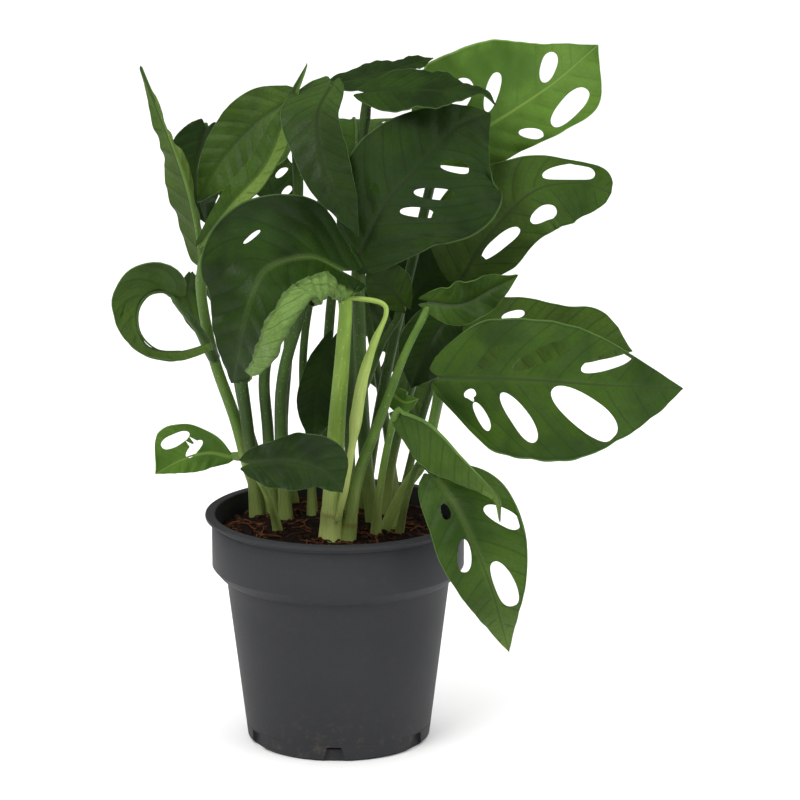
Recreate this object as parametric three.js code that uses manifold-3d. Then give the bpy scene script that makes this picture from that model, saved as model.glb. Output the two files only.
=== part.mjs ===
// Potted monstera plant: a nursery pot, its soil, and a plant of leaves, each on its own stem.
// Millimetres, +Z up. The origin is the centre of the pot's base, on the surface that it stands on.
import * as THREE from 'three';
import { mergeVertices } from 'three/addons/utils/BufferGeometryUtils.js';
import Module from 'manifold-3d';

const wasm = await Module();
wasm.setup();

// ---------------------------------------------------------------- driving dimensions: pot
const POT_HEIGHT = 105;
const RIM_RADIUS = 60; // outside of the lip
const LIP_THICKNESS = 1.8;
const LIP_REACH = 3; // how far the lip stands out from the band below it
const BAND_HEIGHT = 22; // upright band below the lip
const STEP_IN = 6.4; // shoulder between the band and the body
const STEP_HEIGHT = 6;
const FOOT_RADIUS = 41.5;
const FOOT_BEVEL = 1.5;
const POT_WALL = 1.6;
const POT_FLOOR = 2.4;
const FLOOR_RAISE = 3; // height of the hollow between the base disc and the foot ring
const BASE_DISC_RADIUS = 16;
const FOOT_RING_WIDTH = 3;
const NOTCH_COUNT = 6;
const NOTCH_WIDTH = 11; // at the bottom edge
const NOTCH_TOP_WIDTH = 6.5;
const NOTCH_HEIGHT = 7;
const NOTCH_TURN = -92; // direction of the first notch, in degrees
const DRAIN_RADIUS = 3.5;
const DRAIN_RING_RADIUS = 27;
const POT_SEGMENTS = 48;

// ---------------------------------------------------------------- driving dimensions: plant
const SOIL_DROP = 8; // from the rim down to the soil
const SOIL_CROWN = 1.5; // how much higher the soil is in the middle
const SOIL_EDGE_DROP = 1; // the soil falls off a little beside the wall
const SOIL_EDGE_WIDTH = 3;
const ROOT_DEPTH = 9; // length of each stem below the soil
const LEAF_THICKNESS = 0.9; // at a PLANT_SCALE of 1
const PETIOLE_SCALE = 1; // on every stem radius below
const PLANT_SCALE = 1; // on the whole plant, its thicknesses too
const CLEARANCE = 0.3; // between pieces that touch
const DRAWN_RIM = 60; // rim radius that the leaves hanging over the rim are placed for

const POT_COLOUR = 0x3a3b3d;
const SOIL_COLOUR = 0x1d120d;
const STEM_COLOUR = 0x6c8c3c;
const LEAF_COLOURS = { dark: 0x26401c, mid: 0x35561f, fresh: 0x5c7d33 };

const SOIL_LEVEL = POT_HEIGHT - SOIL_DROP;

// Each leaf, with heights measured from the soil. The spine runs from the petiole to the tip.
// across points from the spine to the leaf's left edge, at even steps along it. left and right
// are half widths at even steps. fold and curl are degrees, [left half, right half], each a list
// along the leaf. A hole is [distance along, distance to the left, length, width, turn in
// degrees]. holeRow makes that many holes on each side between the side veins.
const LEAVES = [
  {
    name: 'tall_left',
    tone: 'mid',
    spine: [[-61, 10, 121], [-63, 8, 138], [-67, 6, 157], [-73, 5, 175], [-80, 8, 192], [-87, 12, 209]],
    across: [[0.9, 0.35, 0]],
    left: [8, 10, 12, 9, 4, 0],
    right: [9, 11, 12, 7, 4, 0],
    fold: [[62], [62]],
    lobe: 2,
    petiole: {
      radius: 3.3,
      path: [[-35, 32, -2], [-41, 29, 20], [-47, 24, 45], [-56, 19, 74], [-61, 14, 103]],
    },
  },
  {
    name: 'ring',
    tone: 'mid',
    spine: [
      [-71, -12, 110], [-79, -16, 114], [-87, -20, 109], [-88, -20, 98], [-83, -18, 88], [-70, -14, 85],
      [-56, -10, 88],
    ],
    across: [[0, -1, 0]],
    left: [12, 17, 10, 4, 4, 3],
    right: [10, 13, 9, 5, 4, 2],
    fold: [[55, 60, 60], [70, 80, 80]],
    lobe: 3,
    holes: [[24, 7, 6, 2, 10]],
    petiole: {
      radius: 2,
      on: 'tall_left',
      path: [[-56, 18, 75], [-63, 2, 93]],
    },
  },
  {
    name: 'back_left',
    tone: 'dark',
    spine: [[-61, 60, 172], [-65, 62, 158], [-65, 58, 145], [-61, 50, 131]],
    across: [[1, 0, 0]],
    left: [14, 18, 18, 10, 0],
    right: [12, 13, 13, 10, 0],
    fold: [[10], [10]],
    petiole: {
      radius: 2,
      path: [[-31, 40, -3], [-43, 46, 39], [-51, 56, 84], [-58, 64, 129]],
    },
  },
  {
    name: 'arch_left',
    tone: 'mid',
    spine: [[-21, 30, 191], [-36, 28, 181], [-52, 25, 164], [-63, 20, 146]],
    across: [[0.5, -0.4, -0.75]],
    left: [16, 22, 22, 14, 0],
    right: [10, 14, 13, 8, 0],
    fold: [[10], [10]],
    petiole: {
      radius: 2.2,
      path: [[-30, 22, 0], [-32, 18, 41], [-33, 15, 70], [-25, 18, 102], [-18, 28, 146]],
    },
  },
  {
    name: 'tall_pointed',
    tone: 'mid',
    spine: [[-59, -5, 134], [-46, -8, 151], [-31, -8, 168], [-22, -4, 190], [-13, 0, 212]],
    across: [[-0.8, 0.4, 0.5]],
    left: [4, 6, 8, 7, 3, 0],
    right: [4, 5, 7, 7, 4, 0],
    fold: [[0], [30]],
    petiole: {
      radius: 3.1,
      path: [[-37, 20, 2], [-40, 17, 32], [-43, 13, 61], [-47, 6, 95]],
    },
  },
  {
    name: 'front_left',
    tone: 'dark',
    spine: [
      [3, -34, 126], [-11, -48, 135], [-29, -64, 133], [-36, -72, 120], [-41, -70, 101], [-45, -62, 82],
    ],
    across: [[0.1, -0.6, -0.8], [0.5, -0.5, -0.7], [0.9, -0.3, 0]],
    left: [15, 27, 32, 30, 16, 0],
    right: [17, 29, 31, 22, 12, 0],
    fold: [[10], [0]],
    curl: [[60, 220, 220, 200], [15]],
    lobe: 9,
    holes: [[42, -16, 8, 2, 15]],
    petiole: {
      radius: 4.2,
      path: [[-3, -23, -1], [-2, -24, 20], [0, -27, 53], [3, -31, 90], [4, -33, 113]],
    },
  },
  {
    name: 'centre',
    tone: 'dark',
    spine: [[9, -18, 127], [21, -24, 152], [37, -24, 171], [52, -16, 186], [68, -6, 191]],
    across: [[-0.7, 0, 0.7]],
    left: [12, 18, 26, 24, 12, 0],
    right: [14, 25, 35, 40, 32, 0],
    holes: [[63, -12, 14, 6, -57], [48, -13, 18, 5, -52], [36, -13, 16, 5, -52], [33, 8, 5, 3, 60]],
    petiole: {
      radius: 3.4,
      path: [[16, 8, -2], [13, 4, 26], [11, -4, 61], [10, -14, 95]],
    },
  },
  {
    name: 'hanging',
    tone: 'mid',
    spine: [[-2, 0, 203], [-8, -20, 192], [-5, -32, 172], [3, -38, 156], [10, -38, 142]],
    across: [[1, 0, 0]],
    left: [8, 9, 12, 9, 0],
    right: [8, 14, 12, 8, 0],
    fold: [[-10], [-10]],
    petiole: {
      radius: 3,
      path: [[-24, 12, 4], [-26, 10, 43], [-24, 8, 72], [-14, 8, 108], [-5, 8, 158]],
    },
  },
  {
    name: 'top_thin',
    tone: 'dark',
    spine: [[-1, 30, 198], [19, 36, 202], [43, 44, 208]],
    across: [[0, 0.95, 0.3]],
    left: [8, 12, 10, 0],
    right: [8, 12, 10, 0],
    petiole: {
      radius: 1.8,
      path: [[-12, 20, 2], [-13, 22, 36], [-16, 25, 58], [-15, 30, 85], [-8, 38, 125], [-4, 36, 167]],
    },
  },
  {
    name: 'top_dark',
    tone: 'dark',
    spine: [[13, -10, 201], [32, -16, 203], [52, -22, 203], [64, -26, 203], [70, -28, 198]],
    across: [[0, 0.9, 0.4]],
    left: [10, 16, 14, 6, 0],
    right: [10, 16, 14, 6, 0],
    petiole: {
      radius: 2.2,
      path: [[6, 20, 0], [5, 20, 46], [7, 14, 93], [10, 4, 141], [12, -6, 179]],
    },
  },
  {
    name: 'top_right',
    tone: 'fresh',
    spine: [[45, 15, 170], [65, 10, 181], [94, 5, 201], [115, 0, 220]],
    across: [[-0.6, 0, 0.8]],
    left: [36, 38, 36, 30, 16, 0],
    right: [10, 16, 18, 20, 20, 0],
    holes: [
      [64, 7, 15, 7, 31], [60, -13, 21, 9, 11], [40, -13, 11, 5, -40], [22, 18, 19, 10, 32],
      [36, 12, 19, 6, 40],
    ],
    petiole: {
      radius: 2.4,
      path: [[12, 30, 0], [16, 32, 33], [24, 32, 75], [36, 26, 128]],
    },
  },
  {
    name: 'right_upper',
    tone: 'mid',
    spine: [[56, 10, 114], [66, 5, 132], [86, 0, 154], [106, 2, 158], [122, 5, 153]],
    across: [[-0.8, 0, 0.5], [-0.3, 0, 0.9], [0, 0, 1]],
    left: [18, 26, 26, 17, 10, 10],
    right: [12, 18, 18, 20, 18, 10],
    blunt: 0.12,
    holes: [[69, 5, 21, 7, 0], [52, -11, 20, 7, -5], [34, 12, 13, 4, 43], [24, -6, 24, 6, -10]],
    petiole: {
      radius: 2.2,
      path: [[21, 24, 0], [25, 24, 30], [34, 22, 64], [46, 18, 93]],
    },
  },
  {
    name: 'cupped',
    tone: 'mid',
    spine: [[41, -20, 109], [55, -24, 109], [68, -26, 116], [80, -24, 122]],
    across: [[-0.1, 0, 1]],
    left: [6, 10, 10, 6, 0],
    right: [6, 9, 9, 6, 0],
    fold: [[20], [20]],
    petiole: {
      radius: 2.6,
      path: [[5, -22, -2], [9, -24, 29], [19, -26, 57], [30, -24, 86], [38, -22, 102]],
    },
  },
  {
    name: 'right_front',
    tone: 'mid',
    spine: [[46, -38, 79], [80, -50, 81], [115, -52, 79], [152, -42, 75]],
    across: [[0, 0, 1]],
    left: [16, 26, 27, 23, 12, 0],
    right: [14, 32, 36, 33, 21, 0],
    holes: [
      [23, 9, 16, 5, 40], [45, 11, 27, 7, 29], [74, 11, 25, 8, 23], [18, -17, 14, 5, -62],
      [13, -7, 6, 4, 20], [36, -17, 27, 9, -52], [66, -13, 36, 14, -33],
    ],
    petiole: {
      radius: 2.8,
      path: [[23, -2, 1], [30, -6, 20], [39, -14, 36], [43, -26, 57]],
    },
  },
  {
    name: 'right_behind',
    tone: 'fresh',
    spine: [[49, -4, 83], [82, 5, 88], [109, 5, 87], [132, 0, 82]],
    across: [[0, 0, 1]],
    left: [12, 20, 18, 14, 14, 0],
    right: [12, 20, 18, 14, 10, 0],
    holes: [[32, 10, 10, 4, 5]],
    petiole: {
      radius: 2,
      path: [[27, 12, 2], [32, 10, 25], [39, 6, 54]],
    },
  },
  {
    name: 'low_right',
    tone: 'mid',
    spine: [[44, -52, 37], [55, -62, 22], [67, -68, -6], [76, -60, -40]],
    across: [[1, 0, 0.3]],
    left: [17, 23, 23, 17, 8, 0],
    right: [14, 15, 17, 14, 8, 0],
    overRim: true,
    holes: [
      [12, 12, 13, 4, 45], [28, 16, 17, 7, 40], [15, -5, 8, 4, -10], [37, -6, 15, 6, -20],
      [55, 6, 22, 9, 5],
    ],
    petiole: {
      radius: 1.7,
      path: [[28, -10, 2], [32, -22, 24], [37, -40, 41]],
    },
  },
  {
    name: 'low_folded',
    tone: 'fresh',
    spine: [[28, -48, 66], [42, -58, 62], [58, -72, 48], [70, -80, 37], [71, -80, 25]],
    across: [[-0.65, 0, -0.75]],
    left: [10, 17, 16, 10, 4, 0],
    right: [10, 15, 14, 9, 4, 0],
    fold: [[15], [140]],
    overRim: true,
    petiole: {
      radius: 1.9,
      path: [[17, -14, -2], [19, -22, 24], [23, -36, 50]],
    },
  },
  {
    name: 'low_left',
    tone: 'fresh',
    spine: [[-49, 32, 25], [-60, 32, 27], [-72, 31, 24], [-84, 28, 18]],
    across: [[0, 0, -1]],
    left: [4, 7, 8, 5, 0],
    right: [2, 9, 16, 16, 0],
    lobe: 1,
    holes: [[23, -10, 12, 6, 5], [17, -3, 10, 4, 37]],
    petiole: {
      radius: 1.6,
      on: 'tall_left',
      path: [[-42, 28, 27], [-46, 30, 26]],
    },
  },
  {
    name: 'low_centre',
    tone: 'dark',
    spine: [[-38, -42, 41], [-22, -50, 44], [-7, -54, 41], [3, -54, 31]],
    across: [[0.2, 0, 1]],
    left: [8, 9, 14, 14, 0],
    right: [8, 12, 12, 8, 0],
    petiole: {
      radius: 1.7,
      path: [[-27, -8, 4], [-31, -22, 21], [-35, -36, 34]],
    },
  },
  {
    name: 'inner_mid',
    tone: 'mid',
    spine: [[29, 0, 104], [21, -4, 116], [16, -6, 127]],
    across: [[-0.7, 0, -0.7]],
    left: [6, 10, 8, 0],
    right: [6, 10, 8, 0],
    petiole: {
      radius: 1.6,
      on: 'centre',
      path: [[11, -5, 65], [20, 2, 85], [27, 2, 97]],
    },
  },
  {
    name: 'inner_right',
    tone: 'dark',
    spine: [[50, -2, 101], [41, -6, 86], [33, -8, 67]],
    across: [[0.9, 0, -0.3]],
    left: [8, 14, 12, 0],
    right: [8, 14, 12, 0],
    fold: [[15], [15]],
    petiole: {
      radius: 1.5,
      on: 'right_upper',
      path: [[45, 18, 92], [49, 10, 99]],
    },
  },
  {
    name: 'inner_left',
    tone: 'dark',
    spine: [[-3, 22, 82], [-9, 13, 63], [-12, 10, 36]],
    across: [[0.8, 0, -0.5]],
    left: [8, 9, 10, 0],
    right: [5, 8, 8, 0],
    petiole: {
      radius: 1.4,
      on: 'top_dark',
      path: [[6, 19, 64], [3, 24, 76]],
    },
  },
  {
    name: 'inner_upper',
    tone: 'dark',
    spine: [[29, 40, 90], [39, 43, 105], [53, 43, 116], [68, 38, 115]],
    across: [[-0.5, 0, 0.8]],
    left: [10, 18, 16, 10, 0],
    right: [10, 18, 16, 10, 0],
    petiole: {
      radius: 1.6,
      on: 'top_right',
      path: [[27, 32, 82], [28, 37, 87]],
    },
  },
  {
    name: 'small_bright',
    tone: 'fresh',
    spine: [[24, -12, 66], [30, -18, 63], [36, -20, 65]],
    across: [[0.4, 0, 0.9]],
    left: [3, 5, 4, 0],
    right: [3, 6, 4, 0],
    petiole: {
      radius: 1.2,
      on: 'cupped',
      path: [[20, -26, 59], [22, -16, 63]],
    },
  },
  {
    name: 'small_left',
    tone: 'mid',
    spine: [[-67, 34, 110], [-68, 36, 97], [-62, 32, 80]],
    across: [[1, 0, 0.2]],
    left: [3, 7, 6, 0],
    right: [3, 5, 4, 0],
    petiole: {
      radius: 1.3,
      on: 'back_left',
      path: [[-49, 53, 73], [-58, 46, 96], [-64, 38, 106]],
    },
  },
  {
    name: 'rear_high',
    tone: 'mid',
    spine: [[8, 42, 147], [8, 66, 169], [6, 92, 171], [2, 118, 153]],
    across: [[1, 0, 0]],
    left: [18, 30, 30, 18, 0],
    right: [18, 30, 30, 18, 0],
    holeRow: 3,
    petiole: {
      radius: 2.2,
      path: [[-4, 34, 0], [-6, 38, 51], [-2, 38, 107], [6, 35, 125]],
    },
  },
  {
    name: 'rear_right',
    tone: 'mid',
    spine: [[12, 44, 98], [21, 52, 81], [30, 58, 61], [37, 62, 33]],
    across: [[0.9, 0.35, -0.1]],
    left: [12, 20, 20, 12, 0],
    right: [12, 20, 20, 12, 0],
    holeRow: 3,
    petiole: {
      radius: 2.2,
      path: [[26, 40, -1], [22, 43, 35], [16, 42, 73]],
    },
  },
  {
    name: 'rear_left',
    tone: 'dark',
    spine: [[-24, 62, 127], [-31, 76, 141], [-38, 92, 156], [-43, 106, 171]],
    across: [[-0.9, -0.3, 0]],
    left: [14, 24, 24, 14, 0],
    right: [8, 13, 15, 10, 0],
    holeRow: 3,
    petiole: {
      radius: 2,
      path: [[-22, 42, -1], [-26, 46, 34], [-23, 49, 81]],
    },
  },
];

// The rolled new leaf, still in its sheath, that leans out from the main stem.
const NEW_LEAF = {
  on: 'front_left',
  radius: 2.1,
  path: [
    [0, -27, 12],
    [4, -31, 28],
    [7, -33, 47],
    [9, -34, 61],
    [12, -37, 79],
    [17, -37, 95],
    [22, -35, 107],
    [19, -34, 112],
    [4, -33, 114],
  ],
};

const BASE_ROUND = 0.22; // share of the leaf's length that its rounded base takes
const BASE_WIDTH = 0.4; // width at the very base, as a share of the first half width
const DEFAULT_LOBE = 5; // how far the base lobes reach back past the petiole
const ARC_STEPS = 16;
const CELLS_ALONG = 9;
const CELLS_ACROSS = 4;
const CELLS_ACROSS_CURLED = 12;
const DOME = 0.003; // keeps the flat grid's lines while holes are cut, taken off afterwards
const LOBE_SWING = 0.8 * Math.PI; // puts the furthest point of a base lobe inside its edge
const LEAST_REACH = 0.35; // of the widest half width, for the curl where the leaf is narrow
const CUTTER_LENGTH = 200;
const ROW_START = 0.2; // where a row of holes starts, as a share of the leaf's length
const ROW_SPAN = 0.5;
const HOLE_TURN = 50; // slant of a row's holes, in degrees
const HOLE_LENGTH = 0.6; // of the half width
const HOLE_WIDTH = 0.24;

const clamp = (value, low, high) => Math.min(Math.max(value, low), high);
const radians = (degrees) => THREE.MathUtils.degToRad(degrees);

/** Merges a closed geometry's vertices, drops empty triangles and makes it a solid. */
function solidOf(geometry) {
  const plain = geometry.clone();
  plain.deleteAttribute('normal');
  plain.deleteAttribute('uv');
  const merged = mergeVertices(plain, 1e-4);
  const position = merged.attributes.position;
  const corner = [new THREE.Vector3(), new THREE.Vector3(), new THREE.Vector3()];
  const kept = [];
  let volume = 0;
  for (let i = 0; i < merged.index.count; i += 3) {
    const ids = [0, 1, 2].map((k) => merged.index.getX(i + k));
    if (new Set(ids).size < 3) {
      continue;
    }
    ids.forEach((id, k) => corner[k].fromBufferAttribute(position, id));
    volume += corner[0].dot(corner[1].clone().cross(corner[2]));
    kept.push(ids);
  }
  const wound = volume < 0 ? kept.map((ids) => [ids[0], ids[2], ids[1]]) : kept;
  return new wasm.Manifold(new wasm.Mesh({
    numProp: 3,
    vertProperties: new Float32Array(position.array),
    triVerts: new Uint32Array(wound.flat()),
  }));
}

/** The solid's surface as a geometry. */
function geometryOf(solid) {
  const mesh = solid.getMesh();
  const geometry = new THREE.BufferGeometry();
  const points = new Float32Array(mesh.numVert * 3);
  for (let i = 0; i < mesh.numVert; i++) {
    for (let k = 0; k < 3; k++) {
      points[3 * i + k] = mesh.vertProperties[i * mesh.numProp + k];
    }
  }
  geometry.setAttribute('position', new THREE.BufferAttribute(points, 3));
  geometry.setIndex(new THREE.BufferAttribute(new Uint32Array(mesh.triVerts), 1));
  return geometry;
}

/** A value at share u of a list given at even steps, eased between them. */
function along(list, u) {
  if (list.length === 1) {
    return list[0];
  }
  const place = clamp(u, 0, 1) * (list.length - 1);
  const step = Math.min(Math.floor(place), list.length - 2);
  const share = place - step;
  return THREE.MathUtils.lerp(list[step], list[step + 1], share * share * (3 - 2 * share));
}

/** Splits a list of vectors into one eased vector at share u. */
function vectorAlong(vectors, u) {
  return new THREE.Vector3(...[0, 1, 2].map((k) => along(vectors.map((v) => v[k]), u)));
}

/** A point of the plant, from its place above the soil. */
function plantPoint([x, y, height], outward = new THREE.Vector3()) {
  const point = new THREE.Vector3(x, y, height).multiplyScalar(PLANT_SCALE);
  point.z += SOIL_LEVEL;
  return point.add(outward);
}

/** How far a leaf that hangs over the rim moves out when the rim is wider than drawn. */
function rimShift(leaf) {
  if (!leaf.overRim) {
    return new THREE.Vector3();
  }
  const [x, y] = leaf.spine[0];
  return new THREE.Vector3(x, y, 0).setLength(RIM_RADIUS - DRAWN_RIM);
}

/** One leaf blade: a flat outline with holes, and the surface that it is laid on. */
class Blade {
  constructor(leaf) {
    this.leaf = leaf;
    const shift = rimShift(leaf);
    const points = leaf.spine.map((point) => plantPoint(point, shift));
    this.spine = new THREE.CatmullRomCurve3(points, false, 'catmullrom', 0.5);
    this.length = this.spine.getLength();
    this.fold = leaf.fold ?? [[0], [0]];
    this.curl = leaf.curl ?? [[0], [0]];
    this.widths = [leaf.left, leaf.right].map((list) => {
      const steps = list.map((width) => new THREE.Vector3(width * PLANT_SCALE, 0, 0));
      return new THREE.CatmullRomCurve3(steps, false, 'catmullrom', 0.5);
    });
  }

  /** Half width at share u of the length, on side 0 (left) or 1 (right). */
  halfWidth(u, side) {
    const share = clamp(u, 0, 1);
    let width = Math.max(this.widths[side].getPoint(share).x, 0);
    if (share < BASE_ROUND) {
      const rise = Math.sqrt(1 - (1 - share / BASE_ROUND) ** 2);
      width *= BASE_WIDTH + (1 - BASE_WIDTH) * rise;
    }
    const blunt = this.leaf.blunt ?? 0;
    if (blunt > 0 && share > 1 - blunt) {
      width *= Math.sqrt(Math.max(1 - ((share - 1 + blunt) / blunt) ** 2, 0));
    }
    return width;
  }

  /** Flat place of the point at share u along and share t (-1 to 1) across. */
  flatten(u, t) {
    const lobe = (this.leaf.lobe ?? DEFAULT_LOBE) * PLANT_SCALE;
    const back = clamp(1 - u / BASE_ROUND, 0, 1) ** 2 * Math.sin(LOBE_SWING * Math.abs(t));
    return [u * this.length - lobe * back, t * this.halfWidth(u, t > 0 ? 0 : 1)];
  }

  /** The flat point (x, y), z above the middle of the blade, laid on the leaf's surface. */
  place(x, y, z) {
    const u = x / this.length;
    const share = clamp(u, 0, 1);
    const tangent = this.spine.getTangentAt(share);
    const point = this.spine.getPointAt(share);
    point.addScaledVector(tangent, Math.min(u, 0) * this.length);
    const across = vectorAlong(this.leaf.across, share);
    across.addScaledVector(tangent, -across.dot(tangent)).normalize();
    const up = tangent.clone().cross(across);
    const side = y >= 0 ? 0 : 1;
    const widest = Math.max(...this.leaf[side === 0 ? 'left' : 'right']) * PLANT_SCALE;
    const reach = Math.max(this.halfWidth(Math.max(u, BASE_ROUND), side), LEAST_REACH * widest);
    const fold = radians(along(this.fold[side], share));
    const curl = radians(along(this.curl[side], share));
    const distance = Math.abs(y);
    let out = 0;
    let rise = 0;
    for (let step = 0; step < ARC_STEPS; step++) {
      const part = ((step + 0.5) / ARC_STEPS) * (distance / reach);
      const angle = fold + curl * part ** 2;
      out += (Math.cos(angle) * distance) / ARC_STEPS;
      rise += (Math.sin(angle) * distance) / ARC_STEPS;
    }
    const last = fold + curl * (distance / reach) ** 2;
    const way = Math.sign(y);
    point.addScaledVector(across, way * (out - Math.sin(last) * z));
    return point.addScaledVector(up, rise + Math.cos(last) * z);
  }

  /** The holes' places: those given, or a row on each side between the side veins. */
  holes() {
    const scaled = (this.leaf.holes ?? []).map(
      ([x, y, length, width, turn]) => [...[x, y, length, width].map((v) => v * PLANT_SCALE), turn],
    );
    const count = this.leaf.holeRow ?? 0;
    for (let i = 0; i < count; i++) {
      const u = ROW_START + (ROW_SPAN * (i + 0.5)) / count;
      for (const side of [0, 1]) {
        const half = this.halfWidth(u, side);
        const sign = side === 0 ? 1 : -1;
        const [x, y] = [u * this.length + 0.1 * half, sign * 0.5 * half];
        scaled.push([x, y, HOLE_LENGTH * half, HOLE_WIDTH * half, sign * HOLE_TURN]);
      }
    }
    return scaled;
  }

  /** The blade as a solid, or the space that it needs with a clearance all round. */
  solid(clearance = 0) {
    const thickness = LEAF_THICKNESS * PLANT_SCALE + 2 * clearance;
    const cells = this.leaf.curl ? CELLS_ACROSS_CURLED : CELLS_ACROSS;
    const sheet = new THREE.BoxGeometry(1, 2, thickness, CELLS_ALONG, cells, 1);
    const position = sheet.attributes.position;
    for (let i = 0; i < position.count; i++) {
      const [u, t] = [position.getX(i) + 0.5, position.getY(i)];
      const [inside, half] = this.flatten(u, t);
      const x = inside - (1 - 2 * u) * clearance;
      const y = half + t * clearance;
      position.setXYZ(i, x, y, position.getZ(i) + DOME * (x * x + y * y));
    }
    let flat = solidOf(sheet);
    if (clearance === 0) {
      for (const [x, y, length, width, turn] of this.holes()) {
        const outline = new THREE.Shape();
        outline.absellipse(x, y, length / 2, width / 2, 0, 2 * Math.PI, false, radians(turn));
        const cutter = new THREE.ExtrudeGeometry(
          outline,
          { depth: CUTTER_LENGTH, bevelEnabled: false, curveSegments: 4 },
        );
        cutter.translate(0, 0, -CUTTER_LENGTH / 2);
        flat = flat.subtract(solidOf(cutter));
      }
    }
    const geometry = geometryOf(flat);
    const points = geometry.attributes.position;
    for (let i = 0; i < points.count; i++) {
      const [x, y] = [points.getX(i), points.getY(i)];
      const placed = this.place(x, y, points.getZ(i) - DOME * (x * x + y * y));
      points.setXYZ(i, placed.x, placed.y, placed.z);
    }
    return solidOf(geometry);
  }
}

const PETIOLE_SIDES = 6;
const PETIOLE_STEP = 22; // length of each straight stretch of a petiole

/** Radius of a leaf's petiole. */
function petioleRadius(leaf) {
  return leaf.petiole.radius * PETIOLE_SCALE * PLANT_SCALE;
}

/** The route of a leaf's petiole, from its root or the stem it grows from, to its leaf. */
function petioleCurve(leaf) {
  const { path, on } = leaf.petiole;
  const route = path.map((point) => plantPoint(point));
  if (on === undefined) {
    const [x, y] = path[0];
    route[0] = plantPoint([x, y, 2]);
    route.unshift(new THREE.Vector3(route[0].x, route[0].y, SOIL_LEVEL - ROOT_DEPTH));
  }
  const below = petioleRadius(leaf) + (LEAF_THICKNESS * PLANT_SCALE) / 2 + CLEARANCE;
  route.push(new Blade(leaf).place(0, 0, -below));
  return new THREE.CatmullRomCurve3(route, false, 'catmullrom', 0.5);
}

/** A solid tube along a curve. */
function tube(curve, radius) {
  const section = new THREE.Shape();
  for (let i = 0; i < PETIOLE_SIDES; i++) {
    const angle = (2 * Math.PI * i) / PETIOLE_SIDES;
    const [x, y] = [radius * Math.cos(angle), radius * Math.sin(angle)];
    if (i === 0) {
      section.moveTo(x, y);
    } else {
      section.lineTo(x, y);
    }
  }
  section.closePath();
  const steps = Math.max(3, Math.round(curve.getLength() / PETIOLE_STEP));
  return solidOf(new THREE.ExtrudeGeometry(section, { steps, extrudePath: curve, bevelEnabled: false }));
}

/** A leaf's petiole, made thicker by grow all round. */
function petioleSolid(leaf, grow = 0) {
  return tube(petioleCurve(leaf), petioleRadius(leaf) + grow);
}

/** The petiole that a piece grows from, with the clearance round it. */
function parentStem(name) {
  return petioleSolid(LEAVES.find((leaf) => leaf.name === name), CLEARANCE);
}

/** The largest body of a solid, without the slivers that a cut leaves. */
function largestBody(solid) {
  return solid.decompose().reduce((a, b) => (a.volume() > b.volume() ? a : b));
}

/** Turns a profile of [radius, height] points round the pot's axis. */
function turned(profile) {
  const points = profile.map(([radius, height]) => new THREE.Vector2(radius, height));
  return solidOf(new THREE.LatheGeometry(points, POT_SEGMENTS).rotateX(Math.PI / 2));
}

const BAND_RADIUS = RIM_RADIUS - LIP_REACH;
const BODY_RADIUS = BAND_RADIUS - STEP_IN;
const BAND_TOP = POT_HEIGHT - LIP_THICKNESS;
const BAND_BOTTOM = BAND_TOP - BAND_HEIGHT;
const BODY_TOP = BAND_BOTTOM - STEP_HEIGHT;
const FLOOR_TOP = FLOOR_RAISE + POT_FLOOR;
const SHOULDER_OUT = 0.45; // the shoulder's bend, as shares of its width and height
const SHOULDER_UP = 0.3;

// The pot's inner face from the floor up, as [radius, height] corners.
const INSIDE = [
  [FOOT_RADIUS - POT_WALL, FLOOR_TOP],
  [BODY_RADIUS - POT_WALL, BODY_TOP],
  [BAND_RADIUS - POT_WALL, BAND_BOTTOM],
  [BAND_RADIUS - POT_WALL, POT_HEIGHT],
];

function buildPot() {
  const shell = turned([
    [0, 0],
    [BASE_DISC_RADIUS, 0],
    [BASE_DISC_RADIUS, FLOOR_RAISE],
    [FOOT_RADIUS - FOOT_RING_WIDTH, FLOOR_RAISE],
    [FOOT_RADIUS - FOOT_RING_WIDTH, 0],
    [FOOT_RADIUS - FOOT_BEVEL, 0],
    [FOOT_RADIUS, FOOT_BEVEL],
    [BODY_RADIUS, BODY_TOP],
    [BODY_RADIUS + STEP_IN * SHOULDER_OUT, BODY_TOP + STEP_HEIGHT * SHOULDER_UP],
    [BAND_RADIUS, BAND_BOTTOM],
    [BAND_RADIUS, BAND_TOP],
    [RIM_RADIUS, BAND_TOP],
    [RIM_RADIUS, POT_HEIGHT],
    ...INSIDE.toReversed(),
    [0, FLOOR_TOP],
  ]);
  const notch = new THREE.Shape([
    new THREE.Vector2(-NOTCH_WIDTH / 2, -1),
    new THREE.Vector2(NOTCH_WIDTH / 2, -1),
    new THREE.Vector2(NOTCH_TOP_WIDTH / 2, NOTCH_HEIGHT),
    new THREE.Vector2(-NOTCH_TOP_WIDTH / 2, NOTCH_HEIGHT),
  ]);
  let pot = shell;
  for (let i = 0; i < NOTCH_COUNT; i++) {
    const turn = radians(NOTCH_TURN + (360 * i) / NOTCH_COUNT);
    const cut = new THREE.ExtrudeGeometry(notch, { depth: FOOT_RADIUS, bevelEnabled: false });
    cut.rotateX(Math.PI / 2);
    cut.translate(0, -(FOOT_RADIUS - POT_WALL - CLEARANCE), 0);
    cut.rotateZ(turn + Math.PI / 2);
    pot = pot.subtract(solidOf(cut));
    const drain = new THREE.CylinderGeometry(DRAIN_RADIUS, DRAIN_RADIUS, 4 * POT_FLOOR, 10);
    drain.rotateX(Math.PI / 2);
    drain.translate(
      DRAIN_RING_RADIUS * Math.cos(turn),
      DRAIN_RING_RADIUS * Math.sin(turn),
      FLOOR_RAISE + POT_FLOOR / 2,
    );
    pot = pot.subtract(solidOf(drain));
  }
  return pot;
}

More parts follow.
